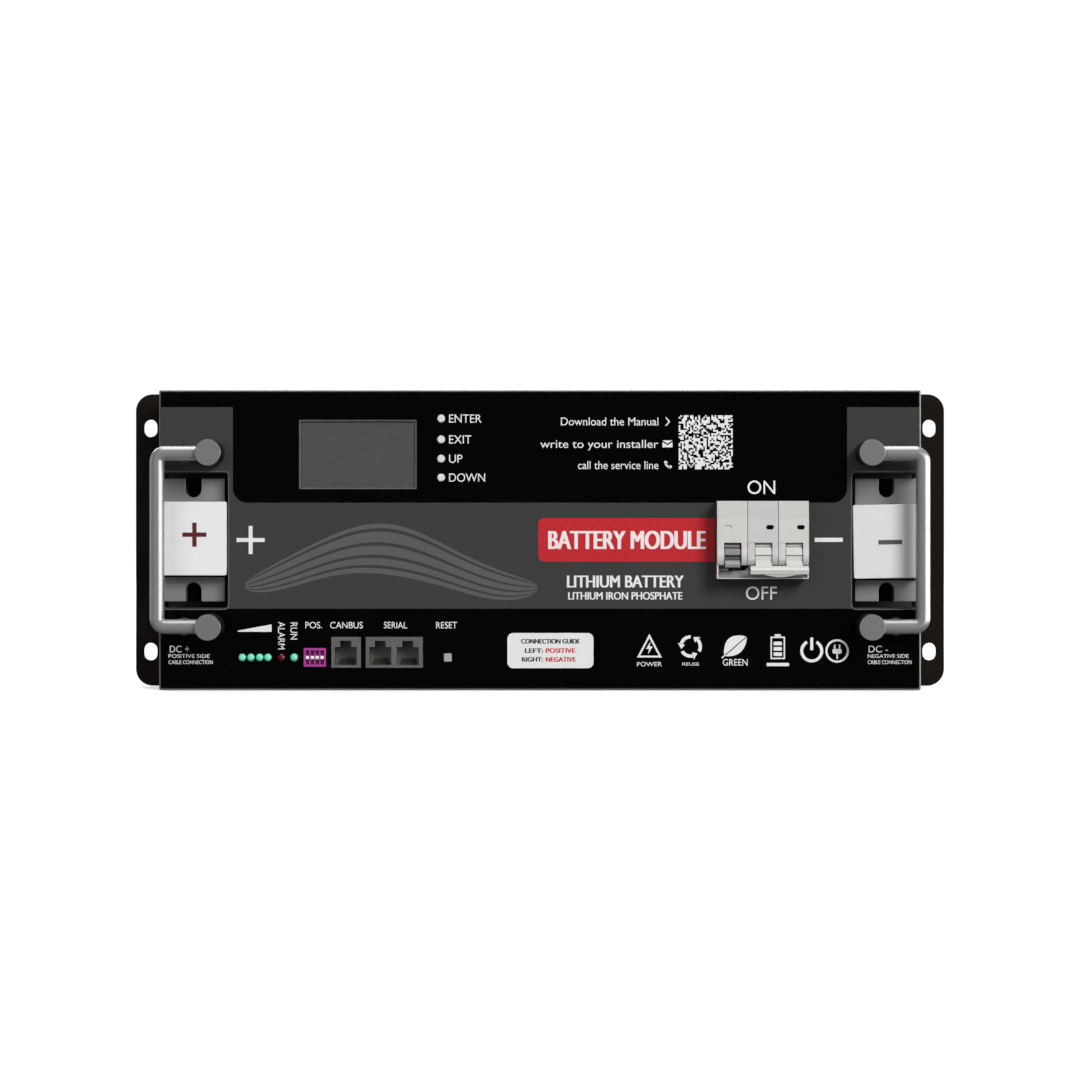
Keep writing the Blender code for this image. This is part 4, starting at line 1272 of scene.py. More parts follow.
def make_prints():
    print_notch_highlights()
    print_signs()
    print_waves()
    print_centre_labels()
    print_menu_labels()
    print_help_lines()
    print_code_block()
    print_port_labels()
    print_white_label()
    print_corner_notes()
    print_triangle_icon()
    print_loop_icon()
    print_leaf_icon()
    print_battery_icon()
    print_ring_icons()
    inks = {
        "white": ink("ink_white", grey(226)),
        "wave": ink("ink_wave", grey(88), 0.05),
        "red": ink("ink_red", tint(188, 41, 48), 0.04),
        "pale_pink": ink("ink_pale_pink", tint(236, 224, 224)),
        "label": ink("ink_label", grey(226)),
        "black": ink("ink_black", grey(28)),
        # The edge ink is a painted highlight round the notches.
        "edge": ink("ink_edge_highlight", tint(100, 94, 89)),
    }
    for name, shapes in prints.items():
        piece(fused(f"print_{name}", shapes), inks[name], "overlay_film", smooth=None)


# Rack ears.


def make_ear(label, side):
    """A bent angle bracket with rack slots and a leg along the case's side."""
    low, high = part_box(f"rack_ear_{label}")
    inner, outer = node_span(f"rack_ear_{label}")
    thick, radius, bend = 0.0025, 0.010, 0.0036
    front = low.y
    plate_outline = (
        [(inner + 0.0001, low.z)]
        + arc((outer - radius, low.z + radius), radius, 270, 360, 12)
        + arc((outer - radius, high.z - radius), radius, 0, 90, 12)
        + [(inner + 0.0001, high.z)]
    )
    curve = arc((inner + bend, front + bend), bend, 180, 270, 6)
    seat = front + thick - 0.0004
    leg_outline = (
        [(inner + thick, seat), (inner + thick, high.y), (inner, high.y), (inner, front + bend)]
        + curve
        + [(inner + bend, seat)]
    )
    corner_outline = (
        [(inner - 0.001, front - 0.001), (inner + bend, front - 0.001)]
        + curve[::-1]
        + [(inner - 0.001, front + bend)]
    )
    flange = plate(f"ear_{label}", mirrored(plate_outline, side), front, front + thick)
    weld(flange, prism("ear_leg", mirrored(leg_outline, side), 2, low.z + 0.010, high.z - 0.010))
    cuts = [prism("ear_corner", mirrored(corner_outline, side), 2, low.z + 0.0098, high.z - 0.0098)]
    for shift in (-1, 1):
        outline = stadium(side * RACK_SLOT_X, MID + shift * RACK_SLOT_Z, 0.008, 0.0104, 10)
        cuts.append(plate("ear_slot", outline, front - 0.002, front + thick + 0.002))
    cut(flange, *cuts)
    piece(bevel(clean(flange), 0.0004, 3, 50), ear_coat(), "case_paint", stands_for=[f"rack_ear_{label}"])
    heads = []
    for row in (-0.060, -0.020, 0.020, 0.060):
        centre = (side * (inner + thick), (front + high.y) / 2 + 0.004, MID + row)
        heads.append(pan_screw("ear_screw", centre, (side, 0, 0)))
    piece(fused(f"ear_screws_{label}", heads), dark_zinc(), "zinc_steel")


def pan_screw(name, centre, axis):
    """A domed screw head with a cross recess and a washer."""
    radius, tall = 0.0036, 0.0022
    profile = (
        (0.0, radius + 0.0011), (0.0004, radius + 0.0011), (0.0005, radius),
        (tall * 0.55, radius - 0.0001), (tall * 0.85, radius * 0.78), (tall, radius * 0.45),
    )
    head = turned(name, centre, axis, profile, 32)
    return cross_recess(head, centre, axis, radius * 0.55, radius * 0.12, (tall - 0.0012, tall + 0.001))


# Handles.


def sweep(name, route, radius, sides=32):
    """A round bar along a flat route, with its rings square to the route."""
    mesh = bmesh.new()
    rings = []
    count = len(route)
    for i, point in enumerate(route):
        here = Vector(point)
        before = Vector(route[max(0, i - 1)])
        after = Vector(route[min(count - 1, i + 1)])
        along = (after - before).normalized()
        depth = Vector((0.0, 1.0, 0.0))
        across = along.cross(depth).normalized()
        made = []
        for k in range(sides):
            angle = 2 * math.pi * k / sides
            offset = across * math.cos(angle) * radius + depth * math.sin(angle) * radius
            made.append(mesh.verts.new(here + offset))
        rings.append(made)
    skin(mesh, rings)
    return from_bmesh(name, mesh)


def make_handle(label, side):
    low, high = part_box(f"handle_bar_{label}")
    radius = (high.y - low.y) / 2
    y = (low.y + high.y) / 2
    inner, outer = node_span(f"handle_bar_{label}")
    outer -= radius
    top, bottom = high.z - radius, low.z + radius
    bend = 0.005
    flat = (
        [(inner, top)]
        + arc((outer - bend, top - bend), bend, 90, 0, 10)
        + arc((outer - bend, bottom + bend), bend, 0, -90, 10)
        + [(inner, bottom)]
    )
    bar = sweep(f"grip_{label}", [(side * x, y, z) for x, z in flat], radius)
    steel = satin_steel(f"bar_steel_{label}", (0.5, 1.0, 0.5))
    piece(bar, steel, "handle_steel", stands_for=[f"handle_bar_{label}"], smooth=40)
    for height in ("lower", "upper"):
        make_post(f"{label}_{height}", side, y, radius)


def make_post(label, side, bar_y, bar_r):
    """A turned post with a rounded front edge and a foot ring, bored for the bar's end."""
    low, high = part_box(f"handle_post_{label}")
    x, z = node_middle(f"handle_post_{label}")
    radius = (high.x - low.x) / 2
    foot, neck = radius - 0.0002, radius - 0.0007
    length = high.y - low.y
    edge = 0.0003
    profile = [(0.0, foot), (0.0012, foot), (0.0014, neck), (0.0019, neck), (0.0021, radius)]
    for angle in (0.0, 0.4, 0.8, 1.2, 1.57):
        profile.append((length - edge + edge * math.sin(angle), radius - edge + edge * math.cos(angle)))
    profile.append((length, radius * 0.5))
    post = turned(f"post_{label}", (x, high.y, z), (0, -1, 0), profile, 56)
    bore_r = bar_r + CLEAR
    bore_profile = ((0.0, bore_r), (0.010, bore_r))
    cut(post, turned("bore", (x + side * 0.0027, bar_y, z), (side, 0, 0), bore_profile, 32))
    face_steel = satin_steel(f"post_steel_{label}", (1.0, 0.3, 1.0), 140)
    # Painted shade: the posts' sides take a dark steel.
    tones(post, face_steel, (shaded_post_steel(), lambda face: abs(face.normal.y) < 0.6))
    piece(post, None, "handle_steel", stands_for=[f"handle_post_{label}"], smooth=35)


def on_rim(face, x, z):
    """Whether a face is on the front rim of the screw at x, z."""
    reach = math.hypot(face.center.x - x, face.center.z - z)
    return face.center.y < FACE + 0.0006 and reach > SCREW_R - 0.0005


def make_panel_screws():
    """Countersunk screws with a bright rim, a hexagon recess and a plain shank."""
    profile = (
        (0.0002, SCREW_R - 0.0006), (0.00025, SCREW_R - 0.0003), (0.0005, SCREW_R - 0.0004),
        (0.0025, SCREW_SHANK_R), (0.0118, SCREW_SHANK_R), (0.0120, SCREW_SHANK_R - 0.0003),
    )
    for i, (x, z) in enumerate(numbered_places("panel_screw")):
        screw = turned(f"countersunk_screw_{i + 1}", (x, FACE, z), (0, 1, 0), profile, 48)
        recess = turned("recess", (x, FACE, z), (0, 1, 0), ((-0.001, 0.0018), (0.0018, 0.0016)), 6)
        cut(screw, recess)
        tones(screw, screw_black(), (zinc_plate(), lambda face: on_rim(face, x, z)))
        piece(screw, None, "zinc_steel", stands_for=[f"panel_screw_{i + 1}"])


# Terminals.


def make_terminal(label, side):
    make_terminal_base(label, side)
    make_cap_shadow_strip(label)
    make_terminal_metal(label, side)
    make_terminal_cap(label, side)


def make_terminal_base(label, side):
    """The moulded base: a flange with an open slot at each end, on a foot, over black pads that paint the
    shade inside the slots.
    """
    low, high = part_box(f"{label}_terminal_base")
    inner, outer = node_span(f"{label}_terminal_base")
    front = low.y
    thick = 0.009
    slot_r, reach = 0.0046, 0.0065
    middle = (inner + outer) / 2 + 0.0006
    outline = (
        [(inner, low.z), (middle - slot_r, low.z)]
        + arc((middle, low.z + reach), slot_r, 180, 0, 14)
        + [(middle + slot_r, low.z), (outer, low.z), (outer, high.z), (middle + slot_r, high.z)]
        + arc((middle, high.z - reach), slot_r, 0, -180, 14)
        + [(middle - slot_r, high.z), (inner, high.z)]
    )
    back = front + thick
    base = plate(f"terminal_base_{label}", mirrored(outline, side), front, back)
    left, right = sorted((side * (inner + 0.009), side * (outer - 0.003)))
    weld(base, box("foot", (left, back - 0.001, low.z + 0.016), (right, high.y, high.z - 0.016)))
    left, right = sorted((side * (inner + 0.0024), side * (inner + 0.0063)))
    passage = box("passage", (left, front - 0.002, MID - 0.0105), (right, back + 0.002, MID + 0.0105))
    centre = (side * (inner + outer) / 2, front, MID)
    bore = turned("bore", centre, (0, 1, 0), ((-0.002, BOLT_HOLE_R), (0.014, BOLT_HOLE_R)), 32)
    cut(base, passage, bore)
    bevel(clean(base), 0.0005, 3, 50)
    piece(base, terminal_grey(), "grey_plastic", stands_for=[f"{label}_terminal_base"])
    # Painted shade: black pads behind the slots.
    half = slot_r + 0.0006
    pads = []
    for bottom, top in ((low.z, low.z + reach + half), (high.z - reach - half, high.z)):
        outline = rounded(middle - half, middle + half, bottom, top, 0.001, 3)
        pads.append(plate("pad", mirrored(outline, side), back + 0.0001, back + 0.0011))
    piece(fused(f"slot_shade_pads_{label}", pads), deep_black(), "zinc_steel")


def make_cap_shadow_strip(label):
    """A black strip on the base along the cap's lower edge: painted shadow under the cap."""
    cap_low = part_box(f"{label}_terminal_cover")[0]
    low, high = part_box(f"{label}_terminal_base")
    strip = box(
        f"cap_shadow_strip_{label}",
        (low.x + 0.0002, low.y - 0.0008, cap_low.z - 0.0010),
        (high.x - 0.0002, low.y + 0.0002, cap_low.z - 0.0001),
    )
    # Painted shadow: the black strip stands for the cap's shadow on the base.
    piece(bevel(strip, 0.0001, 2, 40), deep_black(), "grey_plastic")


def make_terminal_metal(label, side):
    """The copper strip and the hexagon bolt with its washers."""
    low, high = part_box(f"{label}_busbar")
    pad_back = low.y + 0.004
    inner, outer = node_span(f"{label}_busbar")
    bend, thick = 0.0048, 0.0034
    outline = (
        [(outer, low.y)]
        + [(outer, pad_back)]
        + arc((inner + bend, pad_back + 0.0014), bend - thick, 270, 180, 5)
        + [(inner + thick, high.y), (inner, high.y)]
        + arc((inner + bend, low.y + bend), bend, 180, 270, 8)
    )
    strip = prism(f"busbar_{label}", mirrored(outline, side), 2, low.z, high.z)
    x, z = node_middle(f"{label}_terminal_bolt")
    cut(strip, turned("hole", (x, low.y, z), (0, 1, 0), ((-0.002, BOLT_HOLE_R), (0.006, BOLT_HOLE_R)), 32))
    piece(bevel(clean(strip), 0.0003, 2, 50), copper_strip(), "copper", stands_for=[f"{label}_busbar"])
    seat = low.y - CLEAR
    disc = ((0.0, 0.0074), (0.0002, 0.0075), (0.0011, 0.0075), (0.0012, 0.0073))
    head = turned("head", (x, seat, z), (0, -1, 0), ((0.0012, 0.0066), (0.0044, 0.0070), (0.0048, 0.0066)), 6)
    washer = turned("washer", (x, seat, z), (0, -1, 0), disc, 40)
    shank_profile = ((-0.001, 0.004), (0.0155, 0.004), (0.016, 0.0036))
    weld(washer, turned("shank", (x, seat, z), (0, 1, 0), shank_profile, 32))
    bolt = fused(f"bolt_{label}", [washer, bevel(head, 0.0003, 2, 40)])
    piece(bolt, zinc_plate(), "zinc_steel", stands_for=[f"{label}_terminal_bolt"])


def make_terminal_cap(label, side):
    """The push-fit cap with rounded edges, a way out for the cable and a raised polarity sign."""
    low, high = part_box(f"{label}_terminal_cover")
    tilt = CAP_TILT if side > 0 else 0.0
    centre = Vector(((low.x + high.x) / 2, 0.0, (low.z + high.z) / 2))
    half_wide, half_tall = CAP_SIZE[0] / 2, CAP_SIZE[1] / 2
    turn = Matrix.Translation(centre) @ Matrix.Rotation(tilt, 4, "Y") @ Matrix.Translation(-centre)
    left, right = centre.x - half_wide, centre.x + half_wide
    bottom, top = centre.z - half_tall, centre.z + half_tall
    wall = 0.002
    cap = plate(f"cap_{label}", rounded(left, right, bottom, top, 0.0014, 6), low.y, high.y)
    bevel(cap, 0.0006, 4, 60)
    hollow_low = (left + wall, low.y + wall, bottom + wall)
    hollow = box("hollow", hollow_low, (right - wall, high.y + 0.002, top - wall))
    edge = centre.x + side * half_wide
    mouth = sorted((edge - side * 0.003, edge + side * 0.002))
    way = rounded(low.y + 0.003, high.y + 0.004, MID - 0.0085, MID + 0.0085, 0.0008, 4)
    cut(cap, hollow, prism("way", way, 0, *mouth))
    cap.data.transform(turn)
    # Painted shade: the right cap takes a darker copy of the same white.
    white = cap_white(f"cap_white_{label}", 231 if side < 0 else 218)
    body = f"{label}_cover"
    piece(clean(cap), white, "white_plastic", body=body, stands_for=[f"{label}_terminal_cover"])
    if side < 0:
        outline = plus_outline(0.0140, 0.0025, centre.x + 0.00045, centre.z + 0.0023)
        colour = ink("sign_red", tint(92, 36, 38))
    else:
        x, z = centre.x + 0.0022, centre.z - 0.0005
        outline = rounded(x - 0.0069, x + 0.0069, z - 0.0013, z + 0.0013, 0.0002, 3)
        colour = ink("sign_grey", grey(84))
    sign = plate(f"sign_{label}", outline, low.y - 0.00008, low.y + 0.0001)
    sign.data.transform(turn)
    piece(sign, colour, "overlay_film", body=body)


# Circuit breaker.


def module_outline():
    """The side view of one breaker module, with a round cheek under its window: (Y, Z) pairs."""
    low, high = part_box("breaker_pole_left")
    body_front = FACE + 0.0033
    front = low.y
    top_front = front + 0.0012
    radius = 0.0006
    return (
        [(high.y, high.z), (body_front, high.z), (body_front, NOSE_HIGH)]
        + arc((top_front + radius, NOSE_HIGH - radius), radius, 90, 180, 4)
        + [(top_front, NOSE_HIGH - 0.0008), (front, NOSE_BEND), (front, AXIS_Z + 0.0030)]
        + arc((AXIS_Y, AXIS_Z), AXIS_Y - front, 170, 218, 10)
        + [(RECESS, CHEEK_LOW), (RECESS, 0.0690), (out(0.0030), NOSE_LOW)]
        + [(body_front, NOSE_LOW), (body_front, low.z), (high.y, low.z)]
    )


def make_module(name, colour):
    """One module: a tall front, a window for its drum, and a pole's flag in a slot or the trip's dimple."""
    low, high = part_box(name)
    shell = prism(f"shell_{name}", module_outline(), 0, low.x, high.x)
    left, front = low.x, low.y
    before = front - 0.002
    window_left, window_right = left + WINDOW[0], left + WINDOW[1]
    well_r = DRUM_R + 0.0004
    well = turned("well", (0, AXIS_Y, AXIS_Z), (1, 0, 0), ((window_left, well_r), (window_right, well_r)), 64)
    window = box("window", (window_left, before, 0.0640), (window_right, AXIS_Y - 0.004, WINDOW_HIGH))
    cuts = [well, window]
    mark_z = 0.0943
    if name == "shunt_trip_module":
        cuts.append(plate("dimple", stadium(left + 0.0063, mark_z, 0.0040, 0.0023), before, front + 0.0008))
    else:
        slot_x = left + 0.0127
        cuts.append(plate("flag_slot", stadium(slot_x, mark_z, 0.0044, 0.0026), before, front + 0.0022))
        step_high = (window_left + 0.0001, front + 0.0005, WINDOW_HIGH)
        cuts.append(box("step", (left + 0.0004, before, 0.0700), step_high))
        flag = plate(f"flag_{name}", stadium(slot_x, mark_z, 0.0043, 0.0025), front + 0.0007, front + 0.0020)
        piece(flag, deep_black(), "lever_plastic")
    cut(shell, *cuts)
    bevel(clean(shell), 0.0002, 3, 40)
    # Lit and shaded copies of the shell's colour: the upper slope darker and the sides at half as painted
    # shade, the round front lighter as painted light.
    shades = {
        "shaded_facet": breaker_shell(f"facet_{name}", tint(*(c - 6 for c in colour))),
        "cheek": cheek_light_and_shade(f"cheek_{name}", tint(*(c + 8 for c in colour))),
        "side": breaker_shell(f"side_{name}", tint(*(c * 0.5 for c in colour))),
    }
    tones(
        shell,
        breaker_shell(f"shell_{name}", tint(*colour)),
        (shades["shaded_facet"], lambda face: face.center.z > NOSE_BEND),
        (shades["cheek"], on_cheek),
        (shades["side"], lambda face: abs(face.normal.x) > 0.95),
    )
    piece(shell, None, "breaker_plastic", stands_for=[name])


def axis_reach(face):
    """How far a face's middle is from the levers' axis."""
    return math.hypot(face.center.y - AXIS_Y, face.center.z - AXIS_Z)


def on_cheek(face):
    """Whether a face is on the round front under the height of the levers' axis."""
    in_front = face.center.z < AXIS_Z + 0.0028 and face.center.y < AXIS_Y
    return in_front and axis_reach(face) > DRUM_R + 0.0006


def make_nose_tray():
    """The low tray under the windows: thin walls at the two ends and a lip that slopes up to the back."""
    thick = 0.0008
    root, tip = (out(0.0028), NOSE_LOW), out(0.0144)
    slope = [root, (out(0.0142), NOSE_LOW), (tip, NOSE_LOW + 0.0002), (tip, NOSE_LOW + 0.0006)]
    lip = prism("nose_tray", slope + [(out(0.0040), NOSE_LOW + 0.0034)], 0, BREAKER_LEFT, BREAKER_RIGHT)
    wall = [root, (tip, NOSE_LOW + 0.0004), (out(0.0136), 0.0724), (out(0.0040), 0.0724)]
    weld(lip, *(prism("tray_end", wall, 0, x, x + thick) for x in (BREAKER_LEFT, BREAKER_RIGHT - thick)))
    bevel(clean(lip), 0.00012, 2, 40)
    # Painted shade: the tray under the bar takes a darker copy of the shell's colour, and its forward faces a
    # lighter one.
    tones(
        lip,
        breaker_shell("tray_shade", tint(160, 158, 155)),
        (breaker_shell("tray_rim", tint(200, 198, 194)), lambda face: face.normal.y < -0.8),
    )
    piece(lip, None, "breaker_plastic")


def make_breaker():
    warm, cool = (202, 200, 196), (194, 194, 195)
    make_module("shunt_trip_module", warm)
    make_module("breaker_pole_left", cool)
    make_module("breaker_pole_right", warm)
    make_nose_tray()
    make_toggle()
    make_trip_lever()
    make_trip_details()


def ridged_drum(name, left, right, marks):
    """A drum with raised ridges: marks are (start, end, height), in degrees below the horizontal front."""
    outline = []
    steps = 240
    for i in range(steps):
        angle = 360 * i / steps
        radius = GROOVE_R
        for start, end, height in marks:
            if start <= (angle + 180) % 360 - 180 <= end:
                radius = GROOVE_R + height
        rad = math.radians(angle)
        outline.append((AXIS_Y - radius * math.cos(rad), AXIS_Z - radius * math.sin(rad)))
    return prism(name, outline, 0, left, right)


def on_drum(face, low_reach, high_reach):
    """Whether a face is on a drum's round part, at a radius in the given range."""
    return abs(face.normal.x) < 0.5 and low_reach < axis_reach(face) < high_reach


def lever_point(along, up):
    """Y and Z of a point given by its reach along the lever and its height across it."""
    y = AXIS_Y - along * math.cos(LEVER_TURN) - up * math.sin(LEVER_TURN)
    z = AXIS_Z - along * math.sin(LEVER_TURN) + up * math.cos(LEVER_TURN)
    return y, z


def lever_shape(name, left, right, points):
    """A prism in the lever's own directions."""
    return prism(name, [lever_point(*point) for point in points], 0, left, right)


def make_toggle():
    """The two poles' drums and arms, joined by the bar that the thumb pushes."""
    low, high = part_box("breaker_toggle")
    marks = ((-75, -31, 0.0013), (-26, 4, GROOVE), (7, 28, 0.0013), (50, 84, GROOVE), (87, 130, 0.0013))
    parts = []
    for index in (1, 2):
        left = BREAKER_LEFT + index * MODULE_PITCH
        span = (left + WINDOW[0] + CLEAR, left + WINDOW[1] - CLEAR)
        parts.append(ridged_drum(f"drum_{index}", *span, marks))
        arm = [(0.004, -0.0016), (0.0155, -0.0014), (0.0155, 0.0014), (0.0100, 0.0016), (0.004, 0.0016)]
        parts.append(lever_shape(f"arm_{index}", span[0] + 0.0001, span[1] - 0.0001, arm))
    bar = lever_shape(
        "thumb_bar", low.x - 0.0005, high.x - 0.0007,
        [(0.0146, -0.0014), (0.0151, -0.0017), (0.0178, -0.0017), (0.0183, -0.0012), (0.0183, 0.0019),
         (0.0178, 0.0024), (0.0151, 0.0024), (0.0146, 0.0021)],
    )
    first, *others = parts
    weld(first, *others, bar)
    first.name = "toggle"
    bevel(clean(first), 0.0003, 3, 40)
    thumb = make_thumb_rest(low, high)
    joined = fused("linked_toggle", [first, thumb])
    # Painted light and shade: faces that look along the levers or down take a whiter copy as painted light,
    # and the drums' low round between the ridges a grey as painted shade.
    tones(
        joined,
        toggle_white(),
        (toggle_white("toggle_lit_front", 234), on_lever_front),
        (lever_light(), lambda face: on_drum(face, 0.0, GROOVE_R + 0.0003)),
    )
    piece(joined, None, "white_plastic", body="breaker_toggle", stands_for=["breaker_toggle"], smooth=35)


def on_lever_front(face):
    """Whether a face of the levers looks along them or downwards."""
    along = Vector((0.0, -math.cos(LEVER_TURN), -math.sin(LEVER_TURN)))
    return face.center.z < CHEEK_LOW and max(face.normal.dot(along), -face.normal.z) > 0.7


def make_thumb_rest(low, high):
    """The shallow bulge under the bar's middle."""
    middle = (low.x + high.x) / 2
    width = 0.0178
    count = 20
    mesh = bmesh.new()
    rings = []
    for i in range(count + 1):
        share = i / count
        drop = 0.0019 * math.sin(math.pi * share) ** 1.3 + 0.00002
        x = middle - width / 2 + width * share
        lowest = -0.0020 - drop
        under = ((0.0180, lowest + drop * 0.3), (0.0174, lowest), (0.0156, lowest))
        corners = ((0.0152, -0.0016), (0.0180, -0.0016), *under)
        rings.append([mesh.verts.new((x, *lever_point(*corner))) for corner in corners])
    skin(mesh, rings)
    return from_bmesh("thumb_rest", mesh)


def make_trip_lever():
    """The grey drum of the shunt trip, with ridges and a short lip."""
    span = (BREAKER_LEFT + WINDOW[0] + CLEAR, BREAKER_LEFT + WINDOW[1] - 0.0007)
    marks = ((-75, -28, 0.0013), (-21, 4, GROOVE), (10, 27, 0.0009), (50, 130, 0.0005))
    drum = ridged_drum("trip_drum", *span, marks)
    under = [(0.004, -0.0014), (0.0110, -0.0015), (0.0114, -0.0012)]
    over = [(0.0114, 0.0008), (0.0108, 0.0015), (0.004, 0.0015)]
    weld(drum, lever_shape("trip_lip", span[0] + CLEAR, span[1] - 0.0001, under + over))
    drum.name = "trip_lever_fine"
    bevel(clean(drum), 0.0002, 2, 40)
    groove = GROOVE_R + 0.0003
    # Painted light and shade: the lower ridges darker and the grooves black as painted shade, the lip lighter
    # as painted light.
    tones(
        drum,
        lever_grey(),
        (lever_shade(), lambda face: on_drum(face, groove, DRUM_R - 0.0004) and face.center.z < 0.0780),
        (deep_black(), lambda face: on_drum(face, 0.0, groove)),
        (lever_light(), on_lip),
    )
    piece(drum, None, "lever_plastic", body="trip_lever", stands_for=["shunt_trip_lever"], smooth=35)


def on_lip(face):
    """Whether a face is on the part of the trip lever that sticks out of its drum."""
    return axis_reach(face) > DRUM_R + 0.0001


def make_trip_details():
    """Small grey catches in front of a black plate that paints the shade of a pocket, in the recess below the
    trip lever.
    """
    x, y = BREAKER_LEFT, RECESS
    shadow_plate_outline = (
        (x + 0.0034, 0.0686), (x + 0.0186, 0.0700), (x + 0.0186, 0.0721),
        (x + 0.0142, 0.0721), (x + 0.0142, 0.0693), (x + 0.0034, 0.0693),
    )
    hook_outline = (
        (x + 0.0140, 0.0658), (x + 0.0192, 0.0658), (x + 0.0192, 0.0702),
        (x + 0.0170, 0.0712), (x + 0.0176, 0.0700), (x + 0.0160, 0.0684),
    )
    # Painted shade: a black plate where the gap behind the catches lies in shadow.
    pocket = plate("trip_shadow_plate", shadow_plate_outline, y - 0.0002, y + 0.0008)
    piece(bevel(pocket, 0.0001, 2, 40), deep_black(), "lever_plastic")
    upper = box("trip_catch", (x + 0.0012, y - 0.0030, 0.0692), (x + 0.0070, y - 0.0001, 0.0706))
    lower = box("catch", (x + 0.0012, y - 0.0024, 0.0671), (x + 0.0132, y + 0.0002, 0.0688))
    cut(lower, box("catch_notch", (x + 0.0066, y - 0.0040, 0.0660), (x + 0.0074, y - 0.0016, 0.0680)))
    hook = plate("trip_hook", hook_outline, y - 0.0024, y + 0.0002)
    for part, plastic in ((upper, lever_light()), (clean(lower), lever_grey()), (hook, lever_light())):
        piece(bevel(part, 0.0002, 2, 40), plastic, "lever_plastic")


# Controls.


def make_display():
    """The window's pane, sunk in a thin rim."""
    low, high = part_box("display_window")

    def outline(grow, radius):
        return rounded(low.x - grow, high.x + grow, low.z - grow, high.z + grow, radius, 3)

    pane = plate("display_pane", outline(0.0, 0.0004), low.y + 0.0011, high.y)
    piece(bevel(pane, 0.0001, 2, 60), display_glass(), "display_acrylic", stands_for=["display_window"])
    rim = plate("display_rim", outline(0.0001, 0.0005), low.y - 0.0006, low.y + 0.0014)
    cut(rim, plate("core", outline(-0.00066, 0.0003), low.y - 0.002, low.y + 0.002))
    piece(bevel(clean(rim), 0.0002, 2, 50), socket_grey(), "grey_plastic")


def make_buttons():
    """Four domed round keys, each with a collar behind the plate."""
    profile = (
        (0.0, BUTTON_R * 0.5), (0.0001, BUTTON_R * 0.82), (0.00035, BUTTON_R * 0.96), (0.0006, BUTTON_R),
        (0.0048, BUTTON_R), (0.0048, BUTTON_R + 0.0010), (0.0061, BUTTON_R + 0.0010),
    )
    for label, x, z in button_places():
        key = turned(f"key_{label}", (x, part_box(f"{label}_button")[0].y, z), (0, 1, 0), profile, 40)
        white = cap_white(f"key_white_{label}", 217)
        piece(key, white, "white_plastic", body=f"{label}_key", stands_for=[f"{label}_button"])


def make_reset():
    """The square reset key with its collar."""
    low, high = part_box("reset_button")
    inset = Vector((RESET_FLANGE, 0.0, RESET_FLANGE))
    key = box("reset_cap", low + inset, (high.x - RESET_FLANGE, low.y + 0.0049, high.z - RESET_FLANGE))
    bevel(key, 0.0004, 3, 60)
    collar = box("reset_collar", (low.x, low.y + 0.0046, low.z), (high.x, high.y, high.z))
    weld(key, collar)
    piece(clean(key), lever_light(), "white_plastic", body="reset_key", stands_for=["reset_button"])


def lens_dome(x, z, bar_y):
    """A dome that stands out of the film, on a stalk that reaches into the bar behind it."""
    rise = 0.0012
    profile = []
    for angle in (0.15, 0.4, 0.7, 1.0, 1.3, 1.57):
        profile.append((-rise + rise * (1 - math.cos(angle)), DOME_R * math.sin(angle)))
    profile.append((bar_y - FACE + 0.001, DOME_R))
    return turned("dome", (x, FACE, z), (0, 1, 0), profile, 40)


def make_light_pipes():
    charge, status, z = lens_places()
    low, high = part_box("charge_level_light_pipe")
    bar_y = FACE + 0.0040
    bar = box("charge_bar", (low.x, bar_y, low.z), (high.x, high.y, high.z))
    weld(bar, *(lens_dome(x, z, bar_y) for x in charge))
    mint = tinted_lens("mint_lens", tint(114, 222, 192), 0.13)
    charge_lenses = fused("charge_lenses", [clean(bar)])
    piece(charge_lenses, mint, "green_lens", stands_for=["charge_level_light_pipe"], smooth=40)
    reds = tinted_lens("red_lens", tint(98, 4, 6), 0.02)
    for label, made, slot_name in (("alarm", reds, "red_lens"), ("run", mint, "green_lens")):
        low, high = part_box(f"{label}_light_pipe")
        pipe = box("pipe", (low.x, bar_y, low.z), (high.x, high.y, high.z))
        weld(pipe, lens_dome(status[label], z, bar_y))
        lens = fused(f"{label}_lens", [clean(pipe)])
        piece(lens, made, slot_name, stands_for=[f"{label}_light_pipe"], smooth=40)


def make_address_switch():
    """The switch block with a slot for each slider, and a dark floor in each slot as painted shade."""
    low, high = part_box("address_switch_body")
    body = box("switch_block", low, high)
    slots, floors = [], []
    for x, z in numbered_places("address_slider"):
        slot = rounded(x - 0.00105, x + 0.00105, z - 0.0041, z + 0.0041, 0.0002, 2)
        floor = rounded(x - 0.001, x + 0.001, z - 0.004, z + 0.004, 0.0002, 2)
        slots.append(plate("slot", slot, low.y - 0.002, FACE + 0.0012))
        floors.append(plate("floor", floor, FACE + 0.00105, FACE + 0.00115))
    cut(body, fused("slots", slots))
    bevel(clean(body), 0.00025, 2, 60)
    piece(body, switch_magenta(), "switch_plastic", stands_for=["address_switch_body"])
    # Painted shade: the slot floors are a darker copy of the block's magenta.
    piece(fused("switch_floors", floors), switch_slot_shade(), "switch_plastic")
    for i, (x, z) in enumerate(numbered_places("address_slider")):
        make_slider(i + 1, x, z)


def make_slider(number, x, z):
    """A white slider with a groove for a fingernail."""
    name = f"address_slider_{number}"
    low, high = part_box(name)
    slider = box(f"slider_{number}", (x - 0.00096, low.y, z - 0.0009), (x + 0.00096, high.y, z + 0.0009))
    groove_low = (low.x - 0.001, low.y - 0.001, z - 0.00012)
    cut(slider, box("groove", groove_low, (high.x + 0.001, low.y + 0.00015, z + 0.00012)))
    white = toggle_white(f"slider_white_{number}", 240)
    piece(bevel(clean(slider), 0.0001, 2, 50), white, "white_plastic", body=name, stands_for=[name])


